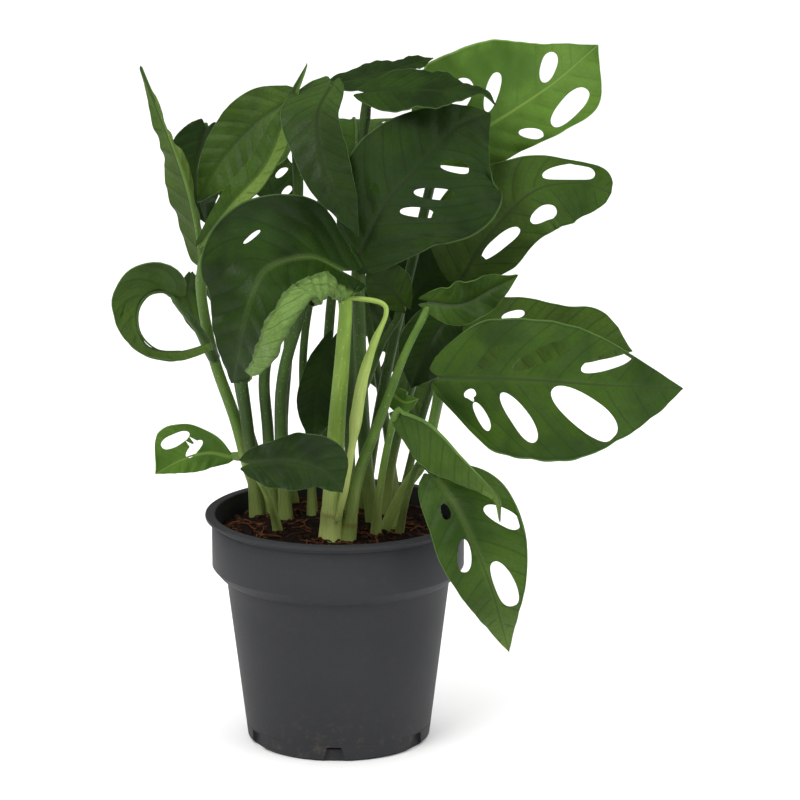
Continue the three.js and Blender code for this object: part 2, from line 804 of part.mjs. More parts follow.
function buildSoil(roots) {
  const below = INSIDE.slice(0, 3).filter(([, height]) => height < SOIL_LEVEL);
  const fitted = below.map(([radius, height]) => [radius - CLEARANCE, height + CLEARANCE]);
  const top = BAND_RADIUS - POT_WALL - CLEARANCE;
  let soil = turned([
    [0, FLOOR_TOP + CLEARANCE],
    ...fitted,
    [top, SOIL_LEVEL - SOIL_EDGE_DROP],
    [top - SOIL_EDGE_WIDTH, SOIL_LEVEL],
    [0, SOIL_LEVEL + SOIL_CROWN],
  ]);
  for (const root of roots) {
    soil = soil.subtract(root);
  }
  return soil;
}

const plant = new THREE.Group();

/** Adds a named piece with its own material. */
function addPiece(name, solid, colour, roughness) {
  const material = new THREE.MeshStandardMaterial({ color: colour, roughness, metalness: 0 });
  const mesh = new THREE.Mesh(geometryOf(solid), material);
  mesh.name = name;
  plant.add(mesh);
}

const rooted = LEAVES.filter((leaf) => leaf.petiole.on === undefined);
addPiece('pot', buildPot(), POT_COLOUR, 0.5);
addPiece('soil', buildSoil(rooted.map((leaf) => petioleSolid(leaf, CLEARANCE))), SOIL_COLOUR, 1);

for (const leaf of LEAVES) {
  const blade = new Blade(leaf);
  addPiece(`leaf_${leaf.name}`, blade.solid(), LEAF_COLOURS[leaf.tone], 0.45);
  let petiole = petioleSolid(leaf).subtract(blade.solid(2 * CLEARANCE));
  if (leaf.petiole.on !== undefined) {
    petiole = petiole.subtract(parentStem(leaf.petiole.on));
  }
  addPiece(`petiole_${leaf.name}`, largestBody(petiole), STEM_COLOUR, 0.5);
}

const shootRoute = NEW_LEAF.path.map((point) => plantPoint(point));
const shootCurve = new THREE.CatmullRomCurve3(shootRoute, false, 'catmullrom', 0.5);
const shootRadius = NEW_LEAF.radius * PETIOLE_SCALE * PLANT_SCALE;
const shoot = tube(shootCurve, shootRadius).subtract(parentStem(NEW_LEAF.on));
addPiece('new_leaf_sheath', largestBody(shoot), LEAF_COLOURS.fresh, 0.45);

export default plant;
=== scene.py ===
"""Potted monstera plant: a nursery pot, its soil and every leaf and stem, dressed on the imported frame.

The leaf and stem tables are in millimetres, with heights taken from the soil. Finished meshes are
in metres.
"""
import logging
import math
import random
from dataclasses import dataclass
from enum import Enum

import bpy
import numpy as np
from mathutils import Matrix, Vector, noise


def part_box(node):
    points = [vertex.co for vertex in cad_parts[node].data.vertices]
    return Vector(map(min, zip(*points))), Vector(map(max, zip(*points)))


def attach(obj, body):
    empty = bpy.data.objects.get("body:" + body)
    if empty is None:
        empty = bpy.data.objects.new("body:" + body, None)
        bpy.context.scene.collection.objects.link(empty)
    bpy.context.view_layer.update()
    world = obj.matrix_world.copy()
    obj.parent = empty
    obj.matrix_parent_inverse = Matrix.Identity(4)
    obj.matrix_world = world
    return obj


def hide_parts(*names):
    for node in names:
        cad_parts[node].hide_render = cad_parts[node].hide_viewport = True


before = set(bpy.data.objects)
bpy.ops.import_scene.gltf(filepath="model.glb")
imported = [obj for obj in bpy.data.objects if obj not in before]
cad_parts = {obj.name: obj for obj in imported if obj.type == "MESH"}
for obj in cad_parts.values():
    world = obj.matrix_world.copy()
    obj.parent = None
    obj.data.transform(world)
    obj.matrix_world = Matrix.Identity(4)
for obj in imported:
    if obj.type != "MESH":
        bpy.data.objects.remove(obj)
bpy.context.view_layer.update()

LOG = logging.getLogger("monstera")
BODY = "root"
MM = 0.001

Point = tuple[float, float, float]
Colour = tuple[float, float, float]


# ------------------------------------------------------------------ small tools


def deselect() -> None:
    """Leaves nothing selected."""
    bpy.ops.object.select_all(action="DESELECT")


def make_active(piece: bpy.types.Object) -> None:
    """Selects one object and makes it the active one."""
    deselect()
    piece.select_set(True)
    bpy.context.view_layer.objects.active = piece


def edit(piece: bpy.types.Object, *steps: tuple[str, dict]) -> None:
    """Runs edit-mode operators on the whole mesh of a piece.

    Args:
        piece: the mesh object.
        steps: pairs of a mesh operator's name and its arguments.
    """
    make_active(piece)
    bpy.ops.object.mode_set(mode="EDIT")
    bpy.ops.mesh.select_mode(type="VERT")
    bpy.ops.mesh.select_all(action="SELECT")
    for name, options in steps:
        getattr(bpy.ops.mesh, name)(**options)
    bpy.ops.object.mode_set(mode="OBJECT")


def apply_modifier(piece: bpy.types.Object, kind: str, **values: object) -> None:
    """Adds one modifier with these values and applies it."""
    make_active(piece)
    modifier = piece.modifiers.new(kind.title(), kind)
    for key, value in values.items():
        setattr(modifier, key, value)
    bpy.ops.object.modifier_apply(modifier=modifier.name)


def points_of(piece: bpy.types.Object) -> np.ndarray:
    """The vertices of a piece as an (n, 3) array."""
    flat = np.empty(len(piece.data.vertices) * 3)
    piece.data.vertices.foreach_get("co", flat)
    return flat.reshape(-1, 3)


def set_points(piece: bpy.types.Object, points: np.ndarray) -> None:
    """Moves the vertices of a piece to these places."""
    piece.data.vertices.foreach_set("co", np.ascontiguousarray(points, dtype=float).ravel())
    piece.data.update()


def select_points(piece: bpy.types.Object, chosen: np.ndarray) -> None:
    """Selects the chosen vertices of a piece in vertex mode, and nothing else."""
    make_active(piece)
    bpy.ops.object.mode_set(mode="EDIT")
    bpy.ops.mesh.select_mode(type="VERT")
    bpy.ops.mesh.select_all(action="DESELECT")
    bpy.ops.object.mode_set(mode="OBJECT")
    piece.data.vertices.foreach_set("select", chosen)


def selected_points(piece: bpy.types.Object) -> np.ndarray:
    """Which vertices of a piece are selected, as booleans."""
    chosen = np.empty(len(piece.data.vertices), dtype=bool)
    piece.data.vertices.foreach_get("select", chosen)
    return chosen


def edge_points(piece: bpy.types.Object) -> np.ndarray:
    """Which vertices lie on an open edge of a piece, as booleans."""
    make_active(piece)
    bpy.ops.object.mode_set(mode="EDIT")
    bpy.ops.mesh.select_mode(type="VERT")
    bpy.ops.mesh.select_all(action="DESELECT")
    bpy.ops.mesh.select_non_manifold()
    bpy.ops.object.mode_set(mode="OBJECT")
    return selected_points(piece)


def new_grid(along: int, across: int) -> bpy.types.Object:
    """A grid of cells, with x from 0 to 1 and y from -1 to 1, as a start for sheets and tubes."""
    deselect()
    bpy.ops.mesh.primitive_grid_add(x_subdivisions=along, y_subdivisions=across, size=2, calc_uvs=False)
    grid = bpy.context.object
    points = points_of(grid)
    points[:, 0] = (points[:, 0] + 1) / 2
    set_points(grid, points)
    return grid


def write_uv(piece: bpy.types.Object, values: np.ndarray) -> None:
    """Gives a piece the UV map "flat" with one (u, v) for each vertex."""
    layer = piece.data.uv_layers.get("flat") or piece.data.uv_layers.new(name="flat")
    corners = np.empty(len(piece.data.loops), dtype=np.int32)
    piece.data.loops.foreach_get("vertex_index", corners)
    layer.data.foreach_set("uv", np.ascontiguousarray(values[corners], dtype=np.float32).ravel())


def write_value(piece: bpy.types.Object, name: str, values: np.ndarray) -> None:
    """Gives a piece a named value for each vertex."""
    layer = piece.data.attributes.new(name, "FLOAT", "POINT")
    layer.data.foreach_set("value", np.ascontiguousarray(values, dtype=np.float32))


def join(pieces: list[bpy.types.Object]) -> bpy.types.Object:
    """Joins pieces into the first one."""
    deselect()
    for piece in pieces:
        piece.select_set(True)
    bpy.context.view_layer.objects.active = pieces[0]
    bpy.ops.object.join()
    return bpy.context.object


def hang(piece: bpy.types.Object, name: str, node: str) -> None:
    """Names a finished piece, puts it on the frame and lets it stand for its plain node."""
    make_active(piece)
    bpy.ops.object.transform_apply(location=True, rotation=True, scale=True)
    piece.name = name
    piece.data.name = name
    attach(piece, BODY)
    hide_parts(node)
    LOG.info("%s: %d faces", name, len(piece.data.polygons))


def dress(piece: bpy.types.Object, *materials: bpy.types.Material) -> None:
    """Gives a piece its materials, in slot order."""
    piece.data.materials.clear()
    for material in materials:
        piece.data.materials.append(material)


def smooth(piece: bpy.types.Object, angle: float | None = None) -> None:
    """Shades a piece smooth all over, or only where its faces meet under an angle in degrees."""
    make_active(piece)
    if angle is None:
        bpy.ops.object.shade_smooth()
    else:
        bpy.ops.object.shade_smooth_by_angle(angle=math.radians(angle))


def ease(value: np.ndarray | float, low: float, high: float) -> np.ndarray:
    """value taken from low..high to 0..1 with a soft start and end."""
    share = np.clip((np.asarray(value, dtype=float) - low) / (high - low), 0, 1)
    return share * share * (3 - 2 * share)


def along(values: tuple, share: np.ndarray) -> np.ndarray:
    """Values given at even steps, eased between them.

    Args:
        values: numbers or vectors at even steps from 0 to 1.
        share: places from 0 to 1.

    Returns:
        One row for each place.
    """
    table = np.asarray(values, dtype=float).reshape(len(values), -1)
    if len(table) == 1:
        return np.repeat(table, len(share), axis=0)
    place = np.clip(share, 0, 1) * (len(table) - 1)
    step = np.minimum(place.astype(int), len(table) - 2)
    part = (place - step)[:, None]
    part = part * part * (3 - 2 * part)
    return table[step] * (1 - part) + table[step + 1] * part


class SmoothCurve:
    """A Catmull-Rom curve through points, measured by its own length."""

    SAMPLES = 201

    def __init__(self, points: np.ndarray) -> None:
        """Takes the points that the curve goes through."""
        self.points = np.asarray(points, dtype=float)
        self.grid = np.linspace(0, 1, self.SAMPLES)
        steps = np.linalg.norm(np.diff(self.raw(self.grid)[0], axis=0), axis=1)
        self.arc = np.concatenate([[0.0], np.cumsum(steps)])
        self.length = float(self.arc[-1])

    def raw(self, share: np.ndarray) -> tuple[np.ndarray, np.ndarray]:
        """Place and slope by the curve's own parameter."""
        p = self.points
        place = np.clip(share, 0, 1) * (len(p) - 1)
        step = np.minimum(place.astype(int), len(p) - 2)
        w = (place - step)[:, None]
        ends = np.vstack([2 * p[0] - p[1], p, 2 * p[-1] - p[-2]])
        a, b, c, d = ends[step], ends[step + 1], ends[step + 2], ends[step + 3]
        start, stop = (c - a) / 2, (d - b) / 2
        cube = 2 * b - 2 * c + start + stop
        square = 3 * (c - b) - 2 * start - stop
        return ((cube * w + square) * w + start) * w + b, (3 * cube * w + 2 * square) * w + start

    def at(self, share: np.ndarray) -> tuple[np.ndarray, np.ndarray]:
        """Place and unit direction at shares of the curve's length."""
        parameter = np.interp(np.clip(share, 0, 1) * self.length, self.arc, self.grid)
        place, slope = self.raw(parameter)
        return place, slope / np.linalg.norm(slope, axis=1)[:, None]


def sweep(curve: SmoothCurve, ring: np.ndarray, up: Point, sides: int, steps: int) -> bpy.types.Object:
    """A closed tube of changing section along a curve.

    Args:
        curve: the middle of the tube.
        ring: for each step and side, the distance from the middle.
        up: the way that side number 0 faces, as nearly as the curve allows.
        sides: number of sides round the tube.
        steps: number of stretches along it.

    Returns:
        The tube, with the UV map "flat" giving distance along in units of 10 mm and turn round.
    """
    tube = new_grid(steps, sides)
    shares = np.linspace(0, 1, steps + 1)
    middle, way = curve.at(shares)
    facing = np.empty_like(middle)
    last = np.asarray(up, dtype=float)
    for i in range(steps + 1):
        last = last - way[i] * last.dot(way[i])
        last /= np.linalg.norm(last)
        facing[i] = last
    flank = np.cross(way, facing)
    flat = points_of(tube)
    row = np.rint(flat[:, 0] * steps).astype(int)
    column = np.rint((flat[:, 1] + 1) / 2 * sides).astype(int)
    angle = 2 * np.pi * column / sides
    reach = ring[row, column % sides][:, None]
    outward = np.cos(angle)[:, None] * facing[row] + np.sin(angle)[:, None] * flank[row]
    set_points(tube, (middle[row] + outward * reach) * MM)
    write_uv(tube, np.stack([shares[row] * curve.length / 10, column / sides], axis=1))
    edit(
        tube,
        ("remove_doubles", {"threshold": 1e-6}),
        ("fill_holes", {"sides": 0}),
        ("normals_make_consistent", {"inside": False}),
    )
    return tube


# ------------------------------------------------------------------ shader groups


def srgb(red: int, green: int, blue: int) -> Colour:
    """A colour given as it is seen, 0 to 255, as a linear colour."""

    def linear(value: int) -> float:
        """One channel."""
        share = value / 255
        return share / 12.92 if share <= 0.04045 else ((share + 0.055) / 1.055) ** 2.4

    return linear(red), linear(green), linear(blue)


class Graph:
    """Short ways to add nodes to a material's tree or a group's."""

    def __init__(self, tree: bpy.types.NodeTree) -> None:
        """Works on this tree."""
        self.tree = tree

    def put(self, socket: bpy.types.NodeSocket, value: object) -> None:
        """Links a socket to another one, or sets it to a value."""
        if isinstance(value, bpy.types.NodeSocket):
            self.tree.links.new(value, socket)
        elif isinstance(value, tuple) and socket.type == "RGBA":
            socket.default_value = (*value[:3], 1)
        else:
            socket.default_value = value

    def add(self, kind: str, inputs: dict, **settings: object) -> bpy.types.Node:
        """Adds a node.

        Args:
            kind: the node's type.
            inputs: socket names or numbers, to values or to sockets that are linked.
            settings: the node's own settings.

        Returns:
            The node.
        """
        node = self.tree.nodes.new(kind)
        for key, value in settings.items():
            setattr(node, key, value)
        for key, value in inputs.items():
            self.put(node.inputs[key], value)
        return node

    def math(self, operation: str, *values: object) -> bpy.types.NodeSocket:
        """The result of a Math node."""
        return self.add("ShaderNodeMath", dict(enumerate(values)), operation=operation).outputs[0]

    def fade(
        self, value: object, low: float, high: float, first: float = 0, last: float = 1
    ) -> bpy.types.NodeSocket:
        """value taken from low..high to first..last, eased and held at the ends."""
        inputs = {"Value": value, "From Min": low, "From Max": high, "To Min": first, "To Max": last}
        return self.add("ShaderNodeMapRange", inputs, interpolation_type="SMOOTHSTEP").outputs["Result"]

    def mix(self, share: object, first: object, second: object) -> bpy.types.NodeSocket:
        """Two colours mixed."""
        return self.add("ShaderNodeMix", {0: share, 6: first, 7: second}, data_type="RGBA").outputs[2]

    def noise(
        self, place: object, scale: float, detail: float = 2, rough: float = 0.5
    ) -> bpy.types.NodeSocket:
        """Soft noise from 0 to 1."""
        inputs = {"Vector": place, "Scale": scale, "Detail": detail, "Roughness": rough}
        return self.add("ShaderNodeTexNoise", inputs).outputs["Fac"]

    def place(self) -> bpy.types.NodeSocket:
        """The place on the piece, in metres."""
        return self.add("ShaderNodeTexCoord", {}).outputs["Object"]

    def flat(self) -> tuple[bpy.types.NodeSocket, bpy.types.NodeSocket, bpy.types.NodeSocket]:
        """The UV map "flat": the whole vector, its first part and its second."""
        vector = self.add("ShaderNodeUVMap", {}, uv_map="flat").outputs["UV"]
        parts = self.add("ShaderNodeSeparateXYZ", {"Vector": vector}).outputs
        return vector, parts[0], parts[1]

    def value(self, name: str) -> bpy.types.NodeSocket:
        """A named value of the piece's vertices."""
        return self.add("ShaderNodeAttribute", {}, attribute_name=name).outputs["Fac"]


def new_group(name: str, inputs: dict[str, float], outputs: list[str]) -> tuple[Graph, dict, bpy.types.Node]:
    """Starts a shader group whose sockets are numbers, apart from the vector "Place".

    Args:
        name: the group's name.
        inputs: names and starting values; None makes a vector.
        outputs: names of the numbers it puts out.

    Returns:
        Its graph, its inputs by name, and the node that takes its outputs.
    """
    tree = bpy.data.node_groups.new(name, "ShaderNodeTree")
    for key, value in inputs.items():
        kind = "NodeSocketVector" if value is None else "NodeSocketFloat"
        socket = tree.interface.new_socket(key, in_out="INPUT", socket_type=kind)
        if value is not None:
            socket.default_value = value
    for key in outputs:
        tree.interface.new_socket(key, in_out="OUTPUT", socket_type="NodeSocketFloat")
    entry = tree.nodes.new("NodeGroupInput")
    return Graph(tree), {key: entry.outputs[key] for key in inputs}, tree.nodes.new("NodeGroupOutput")


class VeinPattern:
    """A leaf's veins: a midrib, side veins that bend towards the tip, and a fine net between them."""

    LEAN = 0.62
    BOW = 0.011
    DEPTH = 0.56
    GROOVE = 1.9

    @classmethod
    def relief(cls, x: np.ndarray, y: np.ndarray, spacing: float, shift: float) -> np.ndarray:
        """Height of the upper face at a flat place, in mm.

        Args:
            x: distance along the leaf from its base, in mm.
            y: distance to the left of its midrib, in mm.
            spacing: distance between side veins, in mm.
            shift: how far they are moved along, as a share of the spacing.

        Returns:
            The heights.
        """
        away = np.abs(y)
        phase = (x - cls.LEAN * away - cls.BOW * away**2) / spacing + shift + 0.37 * (y < 0)
        gap = np.abs((phase + 0.5) % 1 - 0.5) * spacing * 0.85
        between = np.abs(phase % 1 - 0.5) * spacing * 0.85
        quilt = 0.35 * np.cos(2 * np.pi * phase + np.pi) - 0.6 * np.exp(-((gap / cls.GROOVE) ** 2))
        quilt -= 0.2 * np.exp(-((between / cls.GROOVE) ** 2))
        return cls.DEPTH * quilt * ease(away, 0.5, 5) - 0.5 * np.exp(-((away / 1.3) ** 2))

    @classmethod
    def group(cls) -> bpy.types.NodeTree:
        """The shader group with the same veins. It is given millimetres and puts out masks."""
        inputs = {"Along": 0.0, "Across": 0.0, "Spacing": 11.0, "Shift": 0.0, "Length": 100.0}
        graph, entry, result = new_group("leaf_veins", inputs, ["Midrib", "Side", "Net", "Rise"])
        away = graph.math("ABSOLUTE", entry["Across"])
        bend = graph.math("MULTIPLY", graph.math("MULTIPLY", away, away), cls.BOW)
        lean = graph.math("ADD", graph.math("MULTIPLY", away, cls.LEAN), bend)
        other = graph.math("MULTIPLY", graph.math("LESS_THAN", entry["Across"], 0.0), 0.37)
        phase = graph.math("DIVIDE", graph.math("SUBTRACT", entry["Along"], lean), entry["Spacing"])
        phase = graph.math("ADD", graph.math("ADD", phase, entry["Shift"]), other)

        def line(value: bpy.types.NodeSocket, wide: float) -> bpy.types.NodeSocket:
            """A thin line wherever value is whole."""
            nearest = graph.math("ABSOLUTE", graph.math("SUBTRACT", value, graph.math("ROUND", value)))
            return graph.fade(graph.math("MULTIPLY", nearest, entry["Spacing"]), 0.15, wide, 1.0, 0.0)

        taper = graph.fade(graph.math("DIVIDE", entry["Along"], entry["Length"]), 0.0, 1.0, 1.3, 0.35)
        midrib = graph.fade(graph.math("DIVIDE", away, taper), 0.35, 1.0, 1.0, 0.0)
        minor = graph.math("MULTIPLY", line(graph.math("ADD", phase, 0.5), 0.6), 0.45)
        side = graph.math("MAXIMUM", line(phase, 0.9), minor)
        side = graph.math("MULTIPLY", side, graph.fade(away, 0.3, 3.0))
        spot = graph.add("ShaderNodeCombineXYZ", {0: entry["Along"], 1: entry["Across"]}).outputs[0]
        cells = graph.add(
            "ShaderNodeTexVoronoi",
            {"Vector": spot, "Scale": 0.42, "Randomness": 0.9},
            feature="DISTANCE_TO_EDGE",
            voronoi_dimensions="2D",
        ).outputs["Distance"]
        net = graph.fade(cells, 0.0, 0.09, 1.0, 0.0)
        rise = graph.fade(cells, 0.0, 0.35)
        for key, value in (("Midrib", midrib), ("Side", side), ("Net", net), ("Rise", rise)):
            graph.put(result.inputs[key], value)
        return graph.tree


def mottle_group() -> bpy.types.NodeTree:
    """Uneven growth or wear: broad patches with finer ones on them."""
    graph, entry, result = new_group(
        "mottle", {"Place": None, "Broad": 40.0, "Fine": 400.0}, ["Patch", "Grain"]
    )
    broad = graph.noise(entry["Place"], 1.0, 3, 0.55)
    graph.put(broad.node.inputs["Scale"], entry["Broad"])
    fine = graph.noise(entry["Place"], 1.0, 3, 0.6)
    graph.put(fine.node.inputs["Scale"], entry["Fine"])
    graph.put(result.inputs["Patch"], graph.fade(broad, 0.35, 0.68))
    graph.put(result.inputs["Grain"], graph.fade(fine, 0.3, 0.7))
    return graph.tree


class Shared:
    """The shader groups that more than one material places."""

    veins: bpy.types.NodeTree
    mottle: bpy.types.NodeTree

    @classmethod
    def make(cls) -> None:
        """Builds each group once."""
        cls.veins = VeinPattern.group()
        cls.mottle = mottle_group()


# ------------------------------------------------------------------ finishes


def start_material(name: str) -> tuple[bpy.types.Material, Graph, bpy.types.Node]:
    """A new node material with its Principled shader."""
    material = bpy.data.materials.new(name)
    material.use_nodes = True
    graph = Graph(material.node_tree)
    return material, graph, material.node_tree.nodes["Principled BSDF"]


@dataclass(frozen=True)
class LeafFinish:
    """Both faces of a tone of leaf."""

    name: str
    face: Colour
    shade: Colour
    # the painted sheen: a bluish colour that stands in for soft highlights on the upper face
    painted_sheen: Colour
    vein: Colour
    midrib: Colour
    pale: Colour
    under: Colour
    under_vein: Colour
    gloss: float = 0.36

    def veins(self, graph: Graph) -> dict[str, bpy.types.NodeSocket]:
        """Places the vein group on the piece's flat map, which is in units of 10 mm."""
        _, u, v = graph.flat()
        node = graph.add(
            "ShaderNodeGroup",
            {},
            node_tree=Shared.veins,
        )
        graph.put(node.inputs["Along"], graph.math("MULTIPLY", u, 10.0))
        graph.put(node.inputs["Across"], graph.math("MULTIPLY", v, 10.0))
        for key in ("Spacing", "Shift", "Length"):
            graph.put(node.inputs[key], graph.value(key.lower()))
        return {key: node.outputs[key] for key in ("Midrib", "Side", "Net", "Rise")}

    def mottle(self, graph: Graph) -> tuple[bpy.types.NodeSocket, bpy.types.NodeSocket]:
        """Places the mottle group at a leaf's scale."""
        node = graph.add("ShaderNodeGroup", {}, node_tree=Shared.mottle)
        graph.put(node.inputs["Place"], graph.place())
        graph.put(node.inputs["Broad"], 38.0)
        graph.put(node.inputs["Fine"], 620.0)
        return node.outputs["Patch"], node.outputs["Grain"]

    def upper(self) -> bpy.types.Material:
        """The smooth, waxy upper face, with sunken veins and patches of painted sheen."""
        material, graph, shader = start_material(f"leaf_{self.name}_upper")
        masks = self.veins(graph)
        patch, grain = self.mottle(graph)
        edge, age = graph.value("edge"), graph.value("age")
        colour = graph.mix(patch, self.face, self.shade)
        # Painted sheen: noise patches mixed towards the bluish sheen colour paint soft highlights; the same
        # noise also varies the roughness.
        sheen_and_wax = graph.noise(graph.place(), 22.0, 2)
        colour = graph.mix(graph.fade(sheen_and_wax, 0.45, 0.75, 0.0, 0.6), colour, self.painted_sheen)
        colour = graph.mix(age, colour, self.pale)
        colour = graph.mix(graph.math("MULTIPLY", grain, 0.18), colour, self.shade)
        colour = graph.mix(graph.math("MULTIPLY", masks["Net"], 0.16), colour, self.vein)
        colour = graph.mix(graph.math("MULTIPLY", masks["Side"], 0.38), colour, self.vein)
        rib = graph.math("MULTIPLY", masks["Midrib"], graph.fade(age, 0.0, 0.6, 0.85, 0.0))
        colour = graph.mix(rib, colour, self.midrib)
        colour = graph.mix(graph.fade(edge, 0.93, 0.965, 0.0, 0.35), colour, self.vein)
        colour = graph.mix(graph.fade(edge, 0.97, 0.99, 0.0, 0.6), colour, self.under)
        graph.put(shader.inputs["Base Color"], colour)
        rough = graph.math("ADD", graph.math("MULTIPLY", grain, 0.1), self.gloss)
        graph.put(shader.inputs["Roughness"], graph.math("ADD", rough, graph.math("MULTIPLY", sheen_and_wax, 0.08)))
        height = graph.math(
            "ADD", graph.math("MULTIPLY", masks["Rise"], 0.6), graph.math("MULTIPLY", grain, 0.3)
        )
        bump = graph.add("ShaderNodeBump", {"Strength": 0.35, "Distance": 0.00018, "Height": height})
        graph.put(shader.inputs["Normal"], bump.outputs["Normal"])
        shader.inputs["Specular IOR Level"].default_value = 0.13
        return material

    def lower(self) -> bpy.types.Material:
        """The paler, duller underside, with raised veins."""
        material, graph, shader = start_material(f"leaf_{self.name}_under")
        masks = self.veins(graph)
        patch, grain = self.mottle(graph)
        age = graph.value("age")
        colour = graph.mix(graph.math("MULTIPLY", patch, 0.6), self.under, self.face)
        colour = graph.mix(age, colour, self.pale)
        colour = graph.mix(graph.math("MULTIPLY", masks["Net"], 0.3), colour, self.under_vein)
        colour = graph.mix(graph.math("MULTIPLY", masks["Side"], 0.75), colour, self.under_vein)
        colour = graph.mix(graph.math("MULTIPLY", masks["Midrib"], 0.9), colour, self.under_vein)
        graph.put(shader.inputs["Base Color"], colour)
        graph.put(
            shader.inputs["Roughness"],
            graph.math("ADD", graph.math("MULTIPLY", grain, 0.12), self.gloss + 0.1),
        )
        shader.inputs["Specular IOR Level"].default_value = 0.1
        height = graph.math("ADD", masks["Net"], graph.math("MULTIPLY", grain, 0.4))
        bump = graph.add("ShaderNodeBump", {"Strength": 0.4, "Distance": 0.00018, "Height": height})
        graph.put(shader.inputs["Normal"], bump.outputs["Normal"])
        return material

    def rim(self) -> bpy.types.Material:
        """The thin cut edge round the leaf and its holes."""
        material, graph, shader = start_material(f"leaf_{self.name}_edge")
        patch, grain = self.mottle(graph)
        colour = graph.mix(patch, self.vein, self.under)
        graph.put(
            shader.inputs["Base Color"],
            graph.mix(graph.math("MULTIPLY", grain, 0.5), colour, self.shade),
        )
        graph.put(shader.inputs["Roughness"], graph.math("ADD", graph.math("MULTIPLY", grain, 0.1), 0.5))
        return material


class LeafTone(Enum):
    """Three tones of leaf colour, darkest to lightest. Each leaf's tone was matched to how light or dark it
    looks, so the tones carry painted light and shade as well as the leaf's age: the lightest stands in for
    the glow of backlit, translucent leaves.
    """

    DARK = LeafFinish(
        name="dark",
        face=srgb(36, 58, 14),
        shade=srgb(22, 37, 10),
        painted_sheen=srgb(37, 59, 24),
        vein=srgb(19, 32, 11),
        midrib=srgb(34, 46, 20),
        pale=srgb(104, 132, 66),
        under=srgb(74, 98, 52),
        under_vein=srgb(104, 128, 70),
        gloss=0.34,
    )
    MID = LeafFinish(
        name="mid",
        face=srgb(56, 82, 20),
        shade=srgb(36, 58, 14),
        painted_sheen=srgb(58, 84, 33),
        vein=srgb(28, 47, 15),
        midrib=srgb(46, 62, 30),
        pale=srgb(134, 160, 78),
        under=srgb(88, 118, 60),
        under_vein=srgb(116, 142, 78),
        gloss=0.38,
    )
    # Painted light as well as young growth: the lightest tone paints the glow of backlit leaves into their
    # colour.
    LIGHTEST = LeafFinish(
        name="fresh",
        face=srgb(88, 122, 42),
        shade=srgb(64, 96, 32),
        painted_sheen=srgb(98, 128, 60),
        vein=srgb(66, 98, 34),
        midrib=srgb(112, 140, 64),
        pale=srgb(188, 212, 108),
        under=srgb(124, 154, 78),
        under_vein=srgb(150, 176, 104),
        gloss=0.42,
    )


@dataclass(frozen=True)
class StemFinish:
    """A green stem with fine streaks along it and small pale flecks."""

    name: str
    green: Colour
    pale: Colour
    dark: Colour
    scar: Colour = srgb(120, 92, 48)
    gloss: float = 0.42

    def material(self) -> bpy.types.Material:
        """The stem's skin. It is paler where its paleness value is high, as near the soil."""
        material, graph, shader = start_material(f"stem_{self.name}")
        _, u, v = graph.flat()
        streak_place = graph.add(
            "ShaderNodeCombineXYZ",
            {0: graph.math("MULTIPLY", u, 0.35), 1: graph.math("MULTIPLY", v, 14.0)},
        ).outputs[0]
        streak = graph.noise(streak_place, 2.2, 3, 0.6)
        node = graph.add("ShaderNodeGroup", {}, node_tree=Shared.mottle)
        graph.put(node.inputs["Place"], graph.place())
        graph.put(node.inputs["Broad"], 60.0)
        graph.put(node.inputs["Fine"], 900.0)
        colour = graph.mix(graph.math("MULTIPLY", node.outputs["Patch"], 0.6), self.green, self.dark)
        colour = graph.mix(graph.value("age"), colour, self.pale)
        colour = graph.mix(graph.fade(streak, 0.45, 0.72, 0.0, 0.45), colour, self.dark)
        colour = graph.mix(graph.fade(streak, 0.25, 0.42, 0.3, 0.0), colour, self.pale)
        flecks = graph.add(
            "ShaderNodeTexVoronoi",
            {"Vector": graph.place(), "Scale": 420.0},
        ).outputs["Distance"]
        colour = graph.mix(graph.fade(flecks, 0.1, 0.2, 0.4, 0.0), colour, self.pale)
        colour = graph.mix(graph.math("MULTIPLY", graph.value("scar"), 0.6), colour, self.scar)
        graph.put(shader.inputs["Base Color"], colour)
        rough = graph.math("ADD", graph.math("MULTIPLY", node.outputs["Grain"], 0.14), self.gloss)
        graph.put(shader.inputs["Roughness"], rough)
        shader.inputs["Specular IOR Level"].default_value = 0.22
        height = graph.math("ADD", streak, graph.math("MULTIPLY", node.outputs["Grain"], 0.3))
        bump = graph.add("ShaderNodeBump", {"Strength": 0.45, "Distance": 0.0003, "Height": height})
        graph.put(shader.inputs["Normal"], bump.outputs["Normal"])
        return material


class StemTone(Enum):
    """Lit and shaded copies of one stem green: the lightest paints light on the front stems, the shaded one
    paints shade on stems at the back and inside the plant, and the green one lies between.
    """

    BRIGHT = StemFinish("bright", srgb(136, 166, 70), srgb(196, 206, 126), srgb(104, 138, 50))
    GREEN = StemFinish("green", srgb(92, 122, 50), srgb(160, 176, 98), srgb(66, 94, 36))
    SHADED = StemFinish("shaded", srgb(62, 88, 36), srgb(128, 142, 76), srgb(42, 64, 26))


